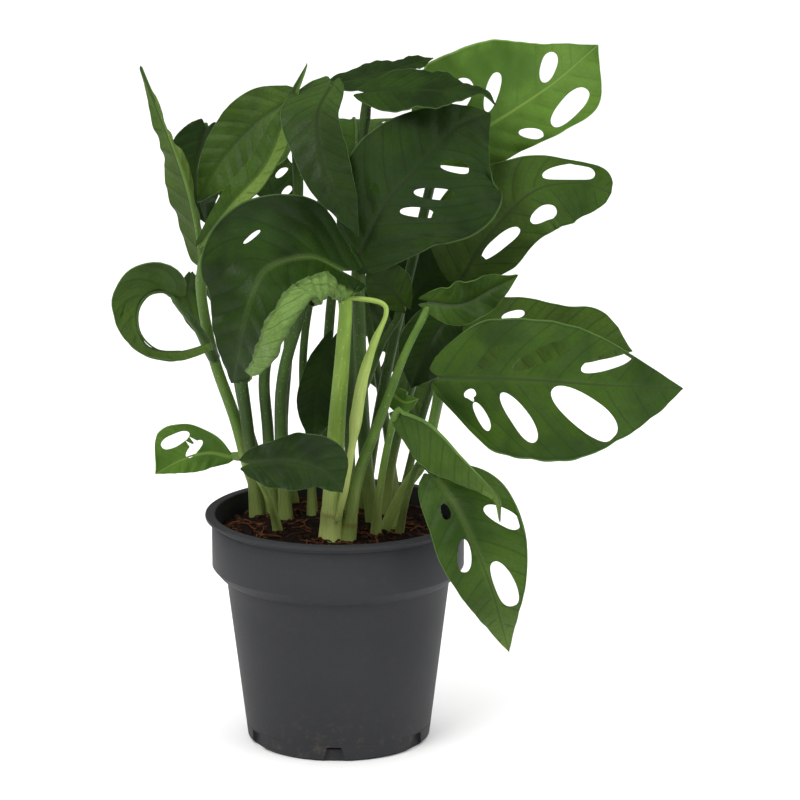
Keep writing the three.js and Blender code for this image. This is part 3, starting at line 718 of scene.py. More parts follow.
@dataclass(frozen=True)
class PotFinish:
    """Dark grey moulded plastic with a satin face, faint flow marks and a little soil dust."""

    grey: Colour = srgb(46, 47, 49)
    light: Colour = srgb(54, 55, 57)
    dust: Colour = srgb(94, 84, 72)

    def material(self) -> bpy.types.Material:
        """The pot's plastic."""
        material, graph, shader = start_material("pot_plastic")
        place = graph.place()
        node = graph.add("ShaderNodeGroup", {}, node_tree=Shared.mottle)
        graph.put(node.inputs["Place"], place)
        graph.put(node.inputs["Broad"], 18.0)
        graph.put(node.inputs["Fine"], 1500.0)
        stretched = graph.add("ShaderNodeMapping", {"Vector": place, "Scale": (9.0, 9.0, 120.0)}).outputs[0]
        flow = graph.noise(stretched, 1.0, 4, 0.6)
        height = graph.add("ShaderNodeSeparateXYZ", {"Vector": place}).outputs[2]
        low = graph.fade(height, 0.0, 0.03, 1.0, 0.0)
        spots = graph.noise(place, 210.0, 4, 0.7)
        dust = graph.math(
            "MULTIPLY",
            graph.fade(spots, 0.5, 0.72),
            graph.math("ADD", graph.math("MULTIPLY", low, 0.35), 0.06),
        )
        colour = graph.mix(graph.math("MULTIPLY", node.outputs["Patch"], 0.3), self.grey, self.light)
        colour = graph.mix(graph.fade(flow, 0.5, 0.8, 0.0, 0.18), colour, self.light)
        colour = graph.mix(dust, colour, self.dust)
        graph.put(shader.inputs["Base Color"], colour)
        rough = graph.math("ADD", graph.math("MULTIPLY", node.outputs["Grain"], 0.08), 0.52)
        rough = graph.math("ADD", rough, graph.math("MULTIPLY", dust, 0.4))
        graph.put(shader.inputs["Roughness"], rough)
        shader.inputs["Specular IOR Level"].default_value = 0.16
        relief = graph.math(
            "ADD",
            graph.math("MULTIPLY", flow, 0.5),
            graph.math("MULTIPLY", node.outputs["Grain"], 0.25),
        )
        bump = graph.add("ShaderNodeBump", {"Strength": 0.25, "Distance": 0.0002, "Height": relief})
        graph.put(shader.inputs["Normal"], bump.outputs["Normal"])
        return material


@dataclass(frozen=True)
class EarthFinish:
    """Peat, bark or root: rough and without gloss."""

    name: str
    dark: Colour
    brown: Colour
    light: Colour
    scale: float

    def material(self) -> bpy.types.Material:
        """The earthy material."""
        material, graph, shader = start_material(self.name)
        place = graph.place()
        node = graph.add("ShaderNodeGroup", {}, node_tree=Shared.mottle)
        graph.put(node.inputs["Place"], place)
        graph.put(node.inputs["Broad"], self.scale)
        graph.put(node.inputs["Fine"], self.scale * 6)
        colour = graph.mix(node.outputs["Patch"], self.dark, self.brown)
        light = graph.fade(graph.noise(place, self.scale * 2.5, 3, 0.7), 0.58, 0.75)
        colour = graph.mix(graph.math("MULTIPLY", light, 0.6), colour, self.light)
        graph.put(shader.inputs["Base Color"], colour)
        graph.put(shader.inputs["Roughness"], graph.fade(node.outputs["Grain"], 0.0, 1.0, 0.75, 0.98))
        shader.inputs["Specular IOR Level"].default_value = 0.15
        height = graph.math("ADD", node.outputs["Patch"], node.outputs["Grain"])
        bump = graph.add("ShaderNodeBump", {"Strength": 0.9, "Distance": 0.0009, "Height": height})
        graph.put(shader.inputs["Normal"], bump.outputs["Normal"])
        return material


PEAT = EarthFinish("peat", srgb(14, 9, 7), srgb(34, 22, 16), srgb(70, 46, 32), 240.0)
BARK = EarthFinish("bark", srgb(40, 25, 17), srgb(78, 50, 33), srgb(128, 88, 60), 330.0)
ROOT = EarthFinish("root_fibre", srgb(82, 48, 28), srgb(126, 78, 48), srgb(170, 122, 84), 260.0)


# ------------------------------------------------------------------ leaves and stems

POT_LOW, POT_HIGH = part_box("pot")
POT_HEIGHT = POT_HIGH.z / MM
RIM_RADIUS = POT_HIGH.x / MM
SOIL_DROP = 8.0
SOIL_LEVEL = POT_HEIGHT - SOIL_DROP
ROOT_DEPTH = 9.0


def above_soil(point: Point) -> np.ndarray:
    """A point of the plant in the pot's own heights."""
    return np.array([point[0], point[1], point[2] + SOIL_LEVEL], dtype=float)


@dataclass(frozen=True)
class Stem:
    """A leaf's stem, from the soil or from the stem that it grows on, up to its blade."""

    radius: float
    path: tuple[Point, ...]
    on: str | None = None
    tone: StemTone = StemTone.GREEN
    foot: float = 1.4
    foot_length: float = 26.0
    neck: float = 0.85
    knuckle: float | None = None

    SIDES = 16
    STEP = 1.6
    END_SHARE = 0.82
    ROOT = ROOT_DEPTH

    def profile(self, distance: np.ndarray, length: float, blade: float) -> np.ndarray:
        """Radius at distances along the stem and then along the midrib under the blade.

        Args:
            distance: from the foot, in mm.
            length: of the stem up to the blade, in mm.
            blade: length of the midrib that it runs on into, in mm.

        Returns:
            The radii, in mm.
        """
        foot = 1 + (self.foot - 1) * (1 - ease(distance, 0.25 * self.foot_length, self.foot_length))
        share = np.clip(distance / length, 0, 1)
        neck = 1 + (self.neck - 1) * share
        swell = 1 + 0.16 * np.exp(-(((distance - length + 9) / 5) ** 2))
        rib = np.clip((distance - length) / blade, 0, 1)
        under = np.where(distance > length, 0.5 * (1 - rib) ** 0.8 + 0.06, 1.0)
        ramp = ease(distance, length - 3, length + 4)
        joint = 1 + 0.07 * self.near_knuckle(distance - self.ROOT, 2.2)
        return self.radius * foot * neck * swell * joint * (1 - ramp + ramp * under)

    def near_knuckle(self, height: np.ndarray, spread: float) -> np.ndarray:
        """1 at the ring where an old leaf stood, falling to 0 away from it."""
        return height * 0 if self.knuckle is None else np.exp(-(((height - self.knuckle) / spread) ** 2))

    def build(self, leaf: "Leaf") -> bpy.types.Object:
        """The stem and the raised midrib that it becomes, as one tapering piece."""
        route = [above_soil(point) for point in self.path]
        if self.on is None:
            x, y, _ = self.path[0]
            route[0] = above_soil((x, y, 2))
            route.insert(0, above_soil((x, y, -ROOT_DEPTH)))
        below = self.radius + 0.75
        ends = leaf.lay(np.zeros(1), np.zeros(1), np.array([-below]))
        stem_only = SmoothCurve(np.vstack([route, ends]))
        blade = leaf.curve.length * self.END_SHARE
        spots = np.array([0.04, 0.12, 0.26, 0.42, 0.6, 0.8, 1.0]) * blade
        depth = -self.radius * 0.5 * (1 - spots / blade) ** 0.8 - 0.62
        rib = leaf.lay(spots, spots * 0, depth)
        curve = SmoothCurve(np.vstack([route, ends, rib]))
        steps = int(curve.length / self.STEP)
        distance = np.linspace(0, curve.length, steps + 1)
        radius = self.profile(distance, stem_only.length, curve.length - stem_only.length)
        turn = 2 * np.pi * np.arange(self.SIDES) / self.SIDES
        groove = 1 - 0.13 * np.exp(-((np.minimum(turn, 2 * np.pi - turn) / 0.42) ** 2))
        flat = 1 + 0.05 * np.cos(2 * turn)
        ring = radius[:, None] * groove * flat
        if self.on is None:
            sheath = 1 - ease(distance, 0.6 * self.foot_length, 1.9 * self.foot_length)
            wing = np.exp(-(((turn - 0.75) / 0.2) ** 2)) + np.exp(-(((turn - 2 * np.pi + 0.75) / 0.2) ** 2))
            ring *= 1 + 0.13 * sheath[:, None] * wing
        up = leaf.lay(np.zeros(2), np.zeros(2), np.array([0.0, 1.0]))
        tube = sweep(curve, ring, tuple(up[1] - up[0]), self.SIDES, steps)
        heights = points_of(tube)[:, 2] / MM - SOIL_LEVEL
        low = 1 - ease(heights, 4, 45)
        write_value(tube, "age", (0.75 * low if self.on is None else 0.2 * low).clip(0, 1))
        write_value(tube, "scar", self.near_knuckle(heights, 1.0))
        return tube


@dataclass
class Leaf:
    """A leaf blade on its stem.

    spine runs from the stem to the tip, and across points from the spine to the left edge. left
    and right are half widths at even steps along the leaf. fold and curl, each for the left half
    and the right, are degrees in lists along the leaf: fold lifts a half, and curl rolls it more
    and more towards its edge, or all of it between the two shares of the width in roll. A hole is
    (distance along, distance to the left, length, width, turn in degrees), and hole_row makes that
    many holes on each side between the side veins.
    """

    name: str
    tone: LeafTone
    spine: tuple[Point, ...]
    across: tuple[Point, ...]
    left: tuple[float, ...]
    right: tuple[float, ...]
    stem: Stem
    fold: tuple[tuple[float, ...], tuple[float, ...]] = ((0,), (0,))
    curl: tuple[tuple[float, ...], tuple[float, ...]] = ((0,), (0,))
    blunt: float = 0.0
    lobe: float = 5.0
    holes: tuple[tuple[float, ...], ...] = ()
    hole_row: int = 0
    veins: float | None = None
    shift: float = 0.0
    wave: float = 1.2
    age: tuple[float, ...] = (0.0,)
    paleness_left: tuple[float, ...] | None = None
    under: LeafTone | None = None
    roll: tuple[float, float] | None = None
    pale_rib: float = 0.0
    crumple: float = 0.0

    CELL = 1.15
    THICKNESS = 0.5
    BASE_ROUND = 0.22
    BASE_WIDTH = 0.4
    LEAST_REACH = 0.35
    ARC_STEPS = 24
    ROW_START = 0.2
    ROW_SPAN = 0.5
    HOLE_TURN = 50.0
    SQUARENESS = 2.3
    MARGIN = 1.8

    def __post_init__(self) -> None:
        """Works out the spine's curve and the spacing of the side veins."""
        self.curve = SmoothCurve(np.array([above_soil(point) for point in self.spine]))
        self.spacing = self.veins or max(6.0, self.curve.length / 8.5)
        self.random = random.Random(self.name)

    def half_width(self, share: np.ndarray, side: int) -> np.ndarray:
        """Half width in mm at shares of the length, on side 0 (left) or 1 (right)."""
        share = np.clip(share, 0, 1)
        widths = (self.left, self.right)[side]
        table = SmoothCurve(np.array([(width, i, 0) for i, width in enumerate(widths)]))
        width = np.maximum(table.raw(share)[0][:, 0], 0)
        rise = np.sqrt(np.clip(1 - (1 - share / self.BASE_ROUND) ** 2, 0, 1))
        width *= np.where(share < self.BASE_ROUND, self.BASE_WIDTH + (1 - self.BASE_WIDTH) * rise, 1)
        if self.blunt:
            end = (share - 1 + self.blunt) / self.blunt
            width *= np.where(end > 0, np.sqrt(np.clip(1 - end**2, 0, 1)), 1)
        return width

    def flatten(self, share: np.ndarray, part: np.ndarray) -> tuple[np.ndarray, np.ndarray]:
        """Flat place in mm of the points at these shares of the length, and parts (-1 to 1) of the width."""
        back = np.clip(1 - share / self.BASE_ROUND, 0, 1) ** 2 * np.sin(0.8 * np.pi * np.abs(part))
        half = np.where(part > 0, self.half_width(share, 0), self.half_width(share, 1))
        return share * self.curve.length - self.lobe * back, part * half

    def lay(self, x: np.ndarray, y: np.ndarray, z: np.ndarray) -> np.ndarray:
        """Lays flat points, z above the middle of the blade, on the leaf's curved surface.

        Args:
            x: distances along the leaf, in mm.
            y: distances to the left of the midrib, in mm.
            z: heights above the blade, in mm.

        Returns:
            The places in mm, as an (n, 3) array.
        """
        share = x / self.curve.length
        point, way = self.curve.at(share)
        point = point + way * (np.minimum(share, 0) * self.curve.length)[:, None]
        across = along(self.across, share)
        across = across - way * np.sum(across * way, axis=1)[:, None]
        across /= np.linalg.norm(across, axis=1)[:, None]
        up = np.cross(way, across)
        wide = np.maximum(share, self.BASE_ROUND)
        reach = np.where(
            y >= 0,
            np.maximum(self.half_width(wide, 0), self.LEAST_REACH * max(self.left)),
            np.maximum(self.half_width(wide, 1), self.LEAST_REACH * max(self.right)),
        )
        fold = np.radians(
            np.where(y >= 0, along(self.fold[0], share)[:, 0], along(self.fold[1], share)[:, 0])
        )
        curl = np.radians(
            np.where(y >= 0, along(self.curl[0], share)[:, 0], along(self.curl[1], share)[:, 0])
        )
        away = np.abs(y)
        out = np.zeros_like(away)
        rise = np.zeros_like(away)
        for step in range(self.ARC_STEPS):
            angle = fold + curl * self.bend((step + 0.5) / self.ARC_STEPS * away / reach)
            out += np.cos(angle) * away / self.ARC_STEPS
            rise += np.sin(angle) * away / self.ARC_STEPS
        last = fold + curl * self.bend(away / reach)
        side = np.sign(y)
        return (
            point
            + across * (side * (out - np.sin(last) * z))[:, None]
            + up * (rise + np.cos(last) * z)[:, None]
        )

    def bend(self, share: np.ndarray) -> np.ndarray:
        """How much of the curl there is at shares of the way from the midrib to the edge."""
        return share**2 if self.roll is None else ease(share, *self.roll)

    def all_holes(self) -> list[tuple[float, ...]]:
        """The holes that are given, and those of the rows."""
        holes = list(self.holes)
        for i in range(self.hole_row):
            share = self.ROW_START + self.ROW_SPAN * (i + 0.5) / self.hole_row
            for side, sign in ((0, 1), (1, -1)):
                half = float(self.half_width(np.array([share]), side)[0])
                x = share * self.curve.length + 0.1 * half
                holes.append((x, sign * 0.5 * half, 0.6 * half, 0.24 * half, sign * self.HOLE_TURN))
        return holes

    def hole_reach(self, hole: tuple[float, ...], x: np.ndarray, y: np.ndarray) -> np.ndarray:
        """How far out a flat point is from the middle of a hole: 1 is the hole's edge."""
        middle_x, middle_y, length, width, turn = hole
        angle = math.radians(turn)
        a = ((x - middle_x) * math.cos(angle) + (y - middle_y) * math.sin(angle)) / (length / 2)
        b = ((y - middle_y) * math.cos(angle) - (x - middle_x) * math.sin(angle)) / (width / 2)
        b = b / (1 + 0.12 * np.clip(a, -1.5, 1.5)) + 0.06 * (a * a - 0.4)
        outline = (np.abs(a) ** self.SQUARENESS + np.abs(b) ** self.SQUARENESS) ** (1 / self.SQUARENESS)
        share = x / self.curve.length
        half = np.where(y >= 0, self.half_width(share, 0), self.half_width(share, 1))
        return np.maximum(outline, np.abs(y) / np.maximum(half - self.MARGIN, 0.1))

    def cut_hole(self, sheet: bpy.types.Object, hole: tuple[float, ...]) -> None:
        """Deletes the sheet inside a hole and draws the ragged edge out to the hole's outline."""
        flat = points_of(sheet)
        inside = self.hole_reach(hole, flat[:, 0], flat[:, 1]) < 1
        if not inside.any():
            return
        was_open = edge_points(sheet)[~inside]
        select_points(sheet, inside)
        bpy.ops.object.mode_set(mode="EDIT")
        bpy.ops.mesh.delete(type="VERT")
        bpy.ops.object.mode_set(mode="OBJECT")
        open_edge = edge_points(sheet) & ~was_open
        flat = points_of(sheet)
        x, y = flat[:, 0].copy(), flat[:, 1].copy()
        step = 0.01
        start = self.hole_reach(hole, x, y)
        slope = np.hypot(
            self.hole_reach(hole, x + step, y) - start, self.hole_reach(hole, x, y + step) - start
        ) / step
        near = open_edge & ((start - 1) / np.maximum(slope, 1e-6) < 2.2 * self.CELL)
        for _ in range(5):
            reach = self.hole_reach(hole, x, y)
            grade_x = (self.hole_reach(hole, x + step, y) - reach) / step
            grade_y = (self.hole_reach(hole, x, y + step) - reach) / step
            steep = np.maximum(grade_x**2 + grade_y**2, 1e-9)
            x -= np.where(near, (reach - 1) * grade_x / steep, 0)
            y -= np.where(near, (reach - 1) * grade_y / steep, 0)
        flat[:, 0], flat[:, 1] = x, y
        set_points(sheet, flat)

    def blade(self) -> bpy.types.Object:
        """The blade: a fine sheet cut to outline and holes, creased by its veins, and given its thickness."""
        length = self.curve.length
        wide = max(self.left) + max(self.right)
        sheet = new_grid(int(length / self.CELL), 2 * int(wide / self.CELL / 2))
        points = points_of(sheet)
        share, part = points[:, 0].copy(), points[:, 1].copy()
        x, y = self.flatten(share, part)
        set_points(sheet, np.stack([x, y, np.zeros_like(x)], axis=1))
        edge_layer = 1 - np.minimum(1 - np.abs(part), 4 * (1 - share))
        write_value(sheet, "edge", edge_layer)
        edit(sheet, ("remove_doubles", {"threshold": 0.04}))
        for hole in self.all_holes():
            self.cut_hole(sheet, hole)
        edit(sheet, ("delete_loose", {}))
        flat = points_of(sheet)
        x, y = flat[:, 0], flat[:, 1]
        write_uv(sheet, np.stack([x, y], axis=1) / 10)
        self.write_growth(sheet, x, y)
        height = VeinPattern.relief(x, y, self.spacing, self.shift) + self.ripple(x, y)
        set_points(sheet, self.lay(x, y, height) * MM)
        apply_modifier(
            sheet,
            "SOLIDIFY",
            thickness=self.THICKNESS * MM,
            offset=0,
            material_offset=1,
            material_offset_rim=2,
        )
        return sheet

    def ripple(self, x: np.ndarray, y: np.ndarray) -> np.ndarray:
        """Soft unevenness of the blade, in mm, strongest along its edge."""
        share = np.clip(x / self.curve.length, 0, 1)
        reach = np.where(y >= 0, self.half_width(share, 0), self.half_width(share, 1))
        out = np.clip(np.abs(y) / np.maximum(reach, 3), 0, 1) ** 2
        turn = self.random.uniform(0, 6.28)
        slow = np.sin(2 * np.pi * share * 2.6 + turn + np.where(y > 0, 0, 1.9))
        fast = np.sin(2 * np.pi * x / 13 + 2 * turn + np.where(y > 0, 0, 2.6))
        soft = self.wave * out * ease(share, 0, 0.25) * (0.75 * slow + 0.35 * fast)
        rolled = np.where(y > 0, ease(y / np.maximum(reach, 3), 0.6, 0.78), 0)
        puckers = (
            0.55 * np.sin(0.8 * x + 0.5 * y)
            + 0.3 * np.sin(1.5 * x - 0.9 * y + 1)
            + 0.2 * np.sin(2.3 * x + y)
        )
        return soft + self.crumple * rolled * puckers

    def write_growth(self, sheet: bpy.types.Object, x: np.ndarray, y: np.ndarray) -> None:
        """Writes the values that the leaf's materials read."""
        share = np.clip(x / self.curve.length, 0, 1)
        age = along(self.age, share)[:, 0]
        # A paler left half; on tall_left it is painted light on the lit side of the fold.
        if self.paleness_left is not None:
            left = along(self.paleness_left, share)[:, 0]
            if self.roll is not None:
                reach = np.maximum(self.half_width(share, 0), self.LEAST_REACH * max(self.left))
                left = left * ease(y / reach, *self.roll)
            age = np.where(y > 0, left, age)
        age = np.maximum(age, self.pale_rib * np.exp(-((y / 1.1) ** 2)) * (1 - share))
        write_value(sheet, "age", age)
        for name, value in (("spacing", self.spacing), ("shift", self.shift), ("length", self.curve.length)):
            write_value(sheet, name, np.full(len(x), value))

    def build(self) -> None:
        """Builds and dresses the blade and the stem."""
        blade = self.blade()
        smooth(blade, 50)
        dress(blade, *Wardrobe.leaf(self.tone, self.under or self.tone))
        hang(blade, f"leaf_blade_{self.name}", f"leaf_{self.name}")
        stem = self.stem.build(self)
        smooth(stem)
        dress(stem, Wardrobe.stem(self.stem.tone))
        hang(stem, f"stem_{self.name}", f"petiole_{self.name}")


class Wardrobe:
    """Makes each finish once, when it is first asked for."""

    _made: dict[str, tuple[bpy.types.Material, ...]] = {}

    @classmethod
    def leaf(cls, tone: LeafTone, under: LeafTone) -> tuple[bpy.types.Material, ...]:
        """Upper face in one tone, with the underside and edge of another or the same."""
        for each in (tone, under):
            if each.name not in cls._made:
                cls._made[each.name] = (each.value.upper(), each.value.lower(), each.value.rim())
        return cls._made[tone.name][0], *cls._made[under.name][1:]

    @classmethod
    def stem(cls, tone: StemTone) -> bpy.types.Material:
        """The skin of a tone of stem."""
        key = f"stem {tone.name}"
        if key not in cls._made:
            cls._made[key] = (tone.value.material(),)
        return cls._made[key][0]


LEAVES = (
    Leaf(
        name="tall_left",
        tone=LeafTone.MID,
        spine=((-61, 10, 121), (-63, 8, 138), (-67, 6, 157), (-73, 5, 175), (-80, 8, 192), (-87, 12, 209)),
        across=((0.9, 0.35, 0),),
        left=(8, 10, 12, 9, 4, 0),
        right=(9, 11, 12, 7, 4, 0),
        fold=((62,), (62,)),
        lobe=2,
        age=(0.15, 0.1),
        # Painted light: the left half is painted paler as the lit side of the fold, against the shaded right
        # half.
        paleness_left=(0.1, 0.45, 0.5, 0.4),
        stem=Stem(
            radius=3.3,
            path=((-35, 32, -2), (-41, 29, 20), (-47, 24, 45), (-56, 19, 74), (-61, 14, 103)),
            tone=StemTone.GREEN,
            foot=1.55,
            neck=0.7,
            knuckle=10,
        ),
    ),
    Leaf(
        name="ring",
        tone=LeafTone.MID,
        spine=(
            (-71, -12, 110), (-79, -16, 114), (-87, -20, 109), (-88, -20, 98), (-83, -18, 88),
            (-70, -14, 85), (-56, -10, 88),
        ),
        across=((0, -1, 0),),
        left=(12, 17, 10, 4, 4, 3),
        right=(10, 13, 9, 5, 4, 2),
        fold=((55, 60, 60), (70, 80, 80)),
        lobe=3,
        holes=((24, 7, 6, 2, 10),),
        wave=0.9,
        age=(0, 0.1, 0.2),
        stem=Stem(
            radius=2,
            on="tall_left",
            path=((-56, 18, 75), (-63, 2, 93)),
            tone=StemTone.SHADED,
        ),
    ),
    Leaf(
        name="back_left",
        tone=LeafTone.DARK,
        spine=((-61, 60, 172), (-65, 62, 158), (-65, 58, 145), (-61, 50, 131)),
        across=((1, 0, 0),),
        left=(14, 18, 18, 10, 0),
        right=(12, 13, 13, 10, 0),
        fold=((10,), (10,)),
        stem=Stem(
            radius=2.5,
            path=((-31, 40, -3), (-43, 46, 39), (-51, 56, 84), (-58, 64, 129)),
            tone=StemTone.SHADED,
        ),
    ),
    Leaf(
        name="arch_left",
        tone=LeafTone.MID,
        spine=((-21, 30, 191), (-36, 28, 181), (-52, 25, 164), (-63, 20, 146)),
        across=((0.5, -0.4, -0.75),),
        left=(16, 22, 22, 14, 0),
        right=(10, 14, 13, 8, 0),
        fold=((10,), (10,)),
        wave=1.4,
        age=(0.08, 0),
        stem=Stem(
            radius=2.9,
            path=((-30, 22, 0), (-32, 18, 41), (-33, 15, 70), (-25, 18, 102), (-18, 28, 146)),
            tone=StemTone.SHADED,
        ),
    ),
    Leaf(
        name="tall_pointed",
        tone=LeafTone.MID,
        spine=((-59, -5, 134), (-46, -8, 151), (-31, -8, 168), (-22, -4, 190), (-13, 0, 212)),
        across=((-0.8, 0.4, 0.5),),
        left=(4, 6, 8, 7, 3, 0),
        right=(4, 5, 7, 7, 4, 0),
        fold=((0,), (30,)),
        age=(0.3, 0.45, 0.35, 0.2),
        paleness_left=(0,),
        stem=Stem(
            radius=3.1,
            path=((-37, 20, 2), (-40, 17, 32), (-43, 13, 61), (-47, 6, 95)),
            tone=StemTone.SHADED,
            foot=1.3,
        ),
    ),
    Leaf(
        name="front_left",
        tone=LeafTone.DARK,
        spine=(
            (3, -34, 126), (-11, -48, 135), (-29, -64, 133), (-36, -72, 120), (-41, -70, 101),
            (-45, -62, 82),
        ),
        across=((0.1, -0.6, -0.8), (0.5, -0.5, -0.7), (0.9, -0.3, 0)),
        left=(14, 31, 42, 41, 28, 0),
        right=(26, 30, 31, 22, 12, 0),
        fold=((10,), (0,)),
        curl=((100, 176, 184, 184), (15,)),
        lobe=14,
        holes=((42, -16, 8, 2, 15),),
        veins=11.5,
        wave=1,
        crumple=1.1,
        pale_rib=0.6,
        paleness_left=(0.9, 0.95),
        roll=(0.6, 0.76),
        under=LeafTone.LIGHTEST,
        stem=Stem(
            radius=4.9,
            path=((-3, -23, -1), (-2, -24, 20), (0, -27, 53), (3, -31, 90), (4, -33, 113)),
            # Painted light: this front stem wears the lit copy of the stem green.
            tone=StemTone.BRIGHT,
            foot=1.16,
            neck=0.55,
            knuckle=13,
        ),
    ),
    Leaf(
        name="centre",
        tone=LeafTone.DARK,
        spine=((9, -18, 127), (21, -24, 152), (37, -24, 171), (52, -16, 186), (68, -6, 191)),
        across=((-0.7, 0, 0.7),),
        left=(12, 18, 26, 24, 12, 0),
        right=(14, 25, 35, 40, 32, 0),
        holes=((63, -12, 14, 6, -57), (48, -13, 18, 5, -52), (36, -13, 16, 5, -52), (33, 8, 5, 3, 60)),
        wave=1.5,
        stem=Stem(
            radius=3.4,
            path=((16, 8, -2), (13, 4, 26), (11, -4, 61), (10, -14, 95)),
            tone=StemTone.SHADED,
            foot=1.25,
        ),
    ),
    Leaf(
        name="hanging",
        tone=LeafTone.DARK,
        spine=((-2, 0, 203), (-8, -20, 192), (-5, -32, 172), (3, -38, 156), (10, -38, 142)),
        across=((1, 0, 0),),
        left=(8, 9, 12, 9, 0),
        right=(15, 17, 12, 8, 0),
        fold=((-10,), (-10,)),
        age=(0.16, 0.05, 0),
        stem=Stem(
            radius=3,
            path=((-24, 12, 4), (-26, 10, 43), (-24, 8, 72), (-14, 8, 108), (-5, 8, 158)),
            tone=StemTone.SHADED,
            foot=1.25,
        ),
    ),
    Leaf(
        name="top_thin",
        tone=LeafTone.DARK,
        spine=((-1, 30, 198), (19, 36, 202), (43, 44, 208)),
        across=((0, 0.95, 0.3),),
        left=(8, 12, 10, 0),
        right=(8, 12, 10, 0),
        stem=Stem(
            radius=2,
            path=((-12, 20, 2), (-13, 22, 36), (-16, 25, 58), (-15, 30, 85), (-8, 38, 125), (-4, 36, 167)),
            tone=StemTone.SHADED,
        ),
    ),
    Leaf(
        name="top_dark",
        tone=LeafTone.DARK,
        spine=((13, -10, 201), (32, -16, 203), (52, -22, 203), (64, -26, 203), (70, -28, 198)),
        across=((0, 0.9, 0.4),),
        left=(10, 16, 14, 6, 0),
        right=(10, 16, 14, 6, 0),
        stem=Stem(
            radius=2.5,
            path=((6, 20, 0), (5, 20, 46), (7, 14, 93), (10, 4, 141), (12, -6, 179)),
            tone=StemTone.SHADED,
        ),
    ),
    Leaf(
        name="top_right",
        tone=LeafTone.LIGHTEST,
        spine=((45, 15, 170), (65, 10, 181), (94, 5, 201), (115, 0, 220)),
        across=((-0.6, 0, 0.8),),
        left=(36, 38, 36, 30, 16, 0),
        right=(10, 16, 18, 20, 20, 0),
        holes=(
            (64, 7, 15, 7, 31), (60, -13, 21, 9, 11), (40, -13, 11, 5, -40), (22, 18, 19, 10, 32),
            (36, 12, 19, 6, 40),
        ),
        wave=1.6,
        stem=Stem(
            radius=2.7,
            path=((12, 30, 0), (16, 32, 33), (24, 32, 75), (36, 26, 128)),
            tone=StemTone.SHADED,
        ),
    ),
    Leaf(
        name="right_upper",
        tone=LeafTone.MID,
        spine=((56, 10, 114), (66, 5, 132), (86, 0, 154), (106, 2, 158), (122, 5, 153)),
        across=((-0.8, 0, 0.5), (-0.3, 0, 0.9), (0, 0, 1)),
        left=(18, 26, 26, 17, 10, 10),
        right=(12, 18, 18, 20, 18, 10),
        blunt=0.12,
        holes=((69, 5, 21, 7, 0), (52, -11, 20, 7, -5), (34, 12, 13, 4, 43), (24, -6, 24, 6, -10)),
        age=(0.1, 0),
        stem=Stem(
            radius=2.7,
            path=((21, 24, 0), (25, 24, 30), (34, 22, 64), (46, 18, 93)),
            tone=StemTone.SHADED,
        ),
    ),
    Leaf(
        name="cupped",
        tone=LeafTone.MID,
        spine=((41, -20, 109), (55, -24, 109), (68, -26, 116), (80, -24, 122)),
        across=((-0.1, 0, 1),),
        left=(6, 10, 10, 6, 0),
        right=(6, 9, 9, 6, 0),
        fold=((20,), (20,)),
        wave=1.8,
        stem=Stem(
            radius=3.4,
            path=((5, -22, -2), (9, -24, 29), (19, -26, 57), (30, -24, 86), (38, -22, 102)),
            tone=StemTone.GREEN,
            foot=1.15,
            neck=0.42,
            knuckle=8,
        ),
    ),
    Leaf(
        name="right_front",
        tone=LeafTone.MID,
        spine=((46, -38, 79), (80, -50, 81), (115, -52, 79), (152, -42, 75)),
        across=((0, 0, 1),),
        left=(16, 26, 27, 23, 12, 0),
        right=(14, 32, 36, 33, 21, 0),
        holes=(
            (23, 9, 16, 5, 40), (45, 11, 27, 7, 29), (74, 11, 25, 8, 23), (18, -17, 14, 5, -62),
            (13, -7, 6, 4, 20), (36, -17, 27, 9, -52), (66, -13, 36, 14, -33),
        ),
        wave=1.7,
        pale_rib=0.1,
        stem=Stem(
            radius=2.8,
            path=((23, -2, 1), (30, -6, 20), (39, -14, 36), (43, -26, 57)),
            tone=StemTone.GREEN,
        ),
    ),
    Leaf(
        name="right_behind",
        tone=LeafTone.MID,
        spine=((49, -4, 83), (82, 5, 88), (109, 5, 87), (132, 0, 82)),
        across=((0, 0, 1),),
        left=(12, 20, 18, 14, 14, 0),
        right=(12, 20, 18, 14, 10, 0),
        holes=((32, 10, 10, 4, 5),),
        age=(0.1,),
        stem=Stem(
            radius=2,
            path=((27, 12, 2), (32, 10, 25), (39, 6, 54)),
            tone=StemTone.SHADED,
        ),
    ),
    Leaf(
        name="low_right",
        tone=LeafTone.MID,
        spine=((44, -52, 37), (55, -62, 22), (67, -68, -6), (76, -60, -40)),
        across=((1, 0, 0.3),),
        left=(17, 23, 23, 17, 8, 0),
        right=(14, 15, 17, 14, 8, 0),
        holes=(
            (12, 12, 13, 4, 45), (28, 16, 17, 7, 40), (15, -5, 8, 4, -10), (37, -6, 15, 6, -20),
            (55, 6, 22, 9, 5),
        ),
        pale_rib=0.35,
        age=(0, 0, 0.05, 0.3),
        stem=Stem(
            radius=1.7,
            path=((28, -10, 2), (32, -22, 24), (37, -40, 41)),
            tone=StemTone.SHADED,
        ),
    ),
    Leaf(
        name="low_folded",
        tone=LeafTone.MID,
        spine=((28, -48, 66), (42, -58, 62), (58, -72, 48), (70, -80, 37), (71, -80, 25)),
        across=((-0.65, 0, -0.75),),
        left=(10, 17, 16, 10, 4, 0),
        right=(10, 15, 14, 9, 4, 0),
        fold=((15,), (140,)),
        age=(0, 0.05, 0.3),
        stem=Stem(
            radius=1.9,
            path=((17, -14, -2), (19, -22, 24), (23, -36, 50)),
        ),
    ),
    Leaf(
        name="low_left",
        tone=LeafTone.LIGHTEST,
        spine=((-49, 32, 25), (-60, 32, 27), (-72, 31, 24), (-84, 28, 18)),
        across=((0, 0, -1),),
        left=(4, 7, 8, 5, 0),
        right=(2, 9, 16, 16, 0),
        lobe=1,
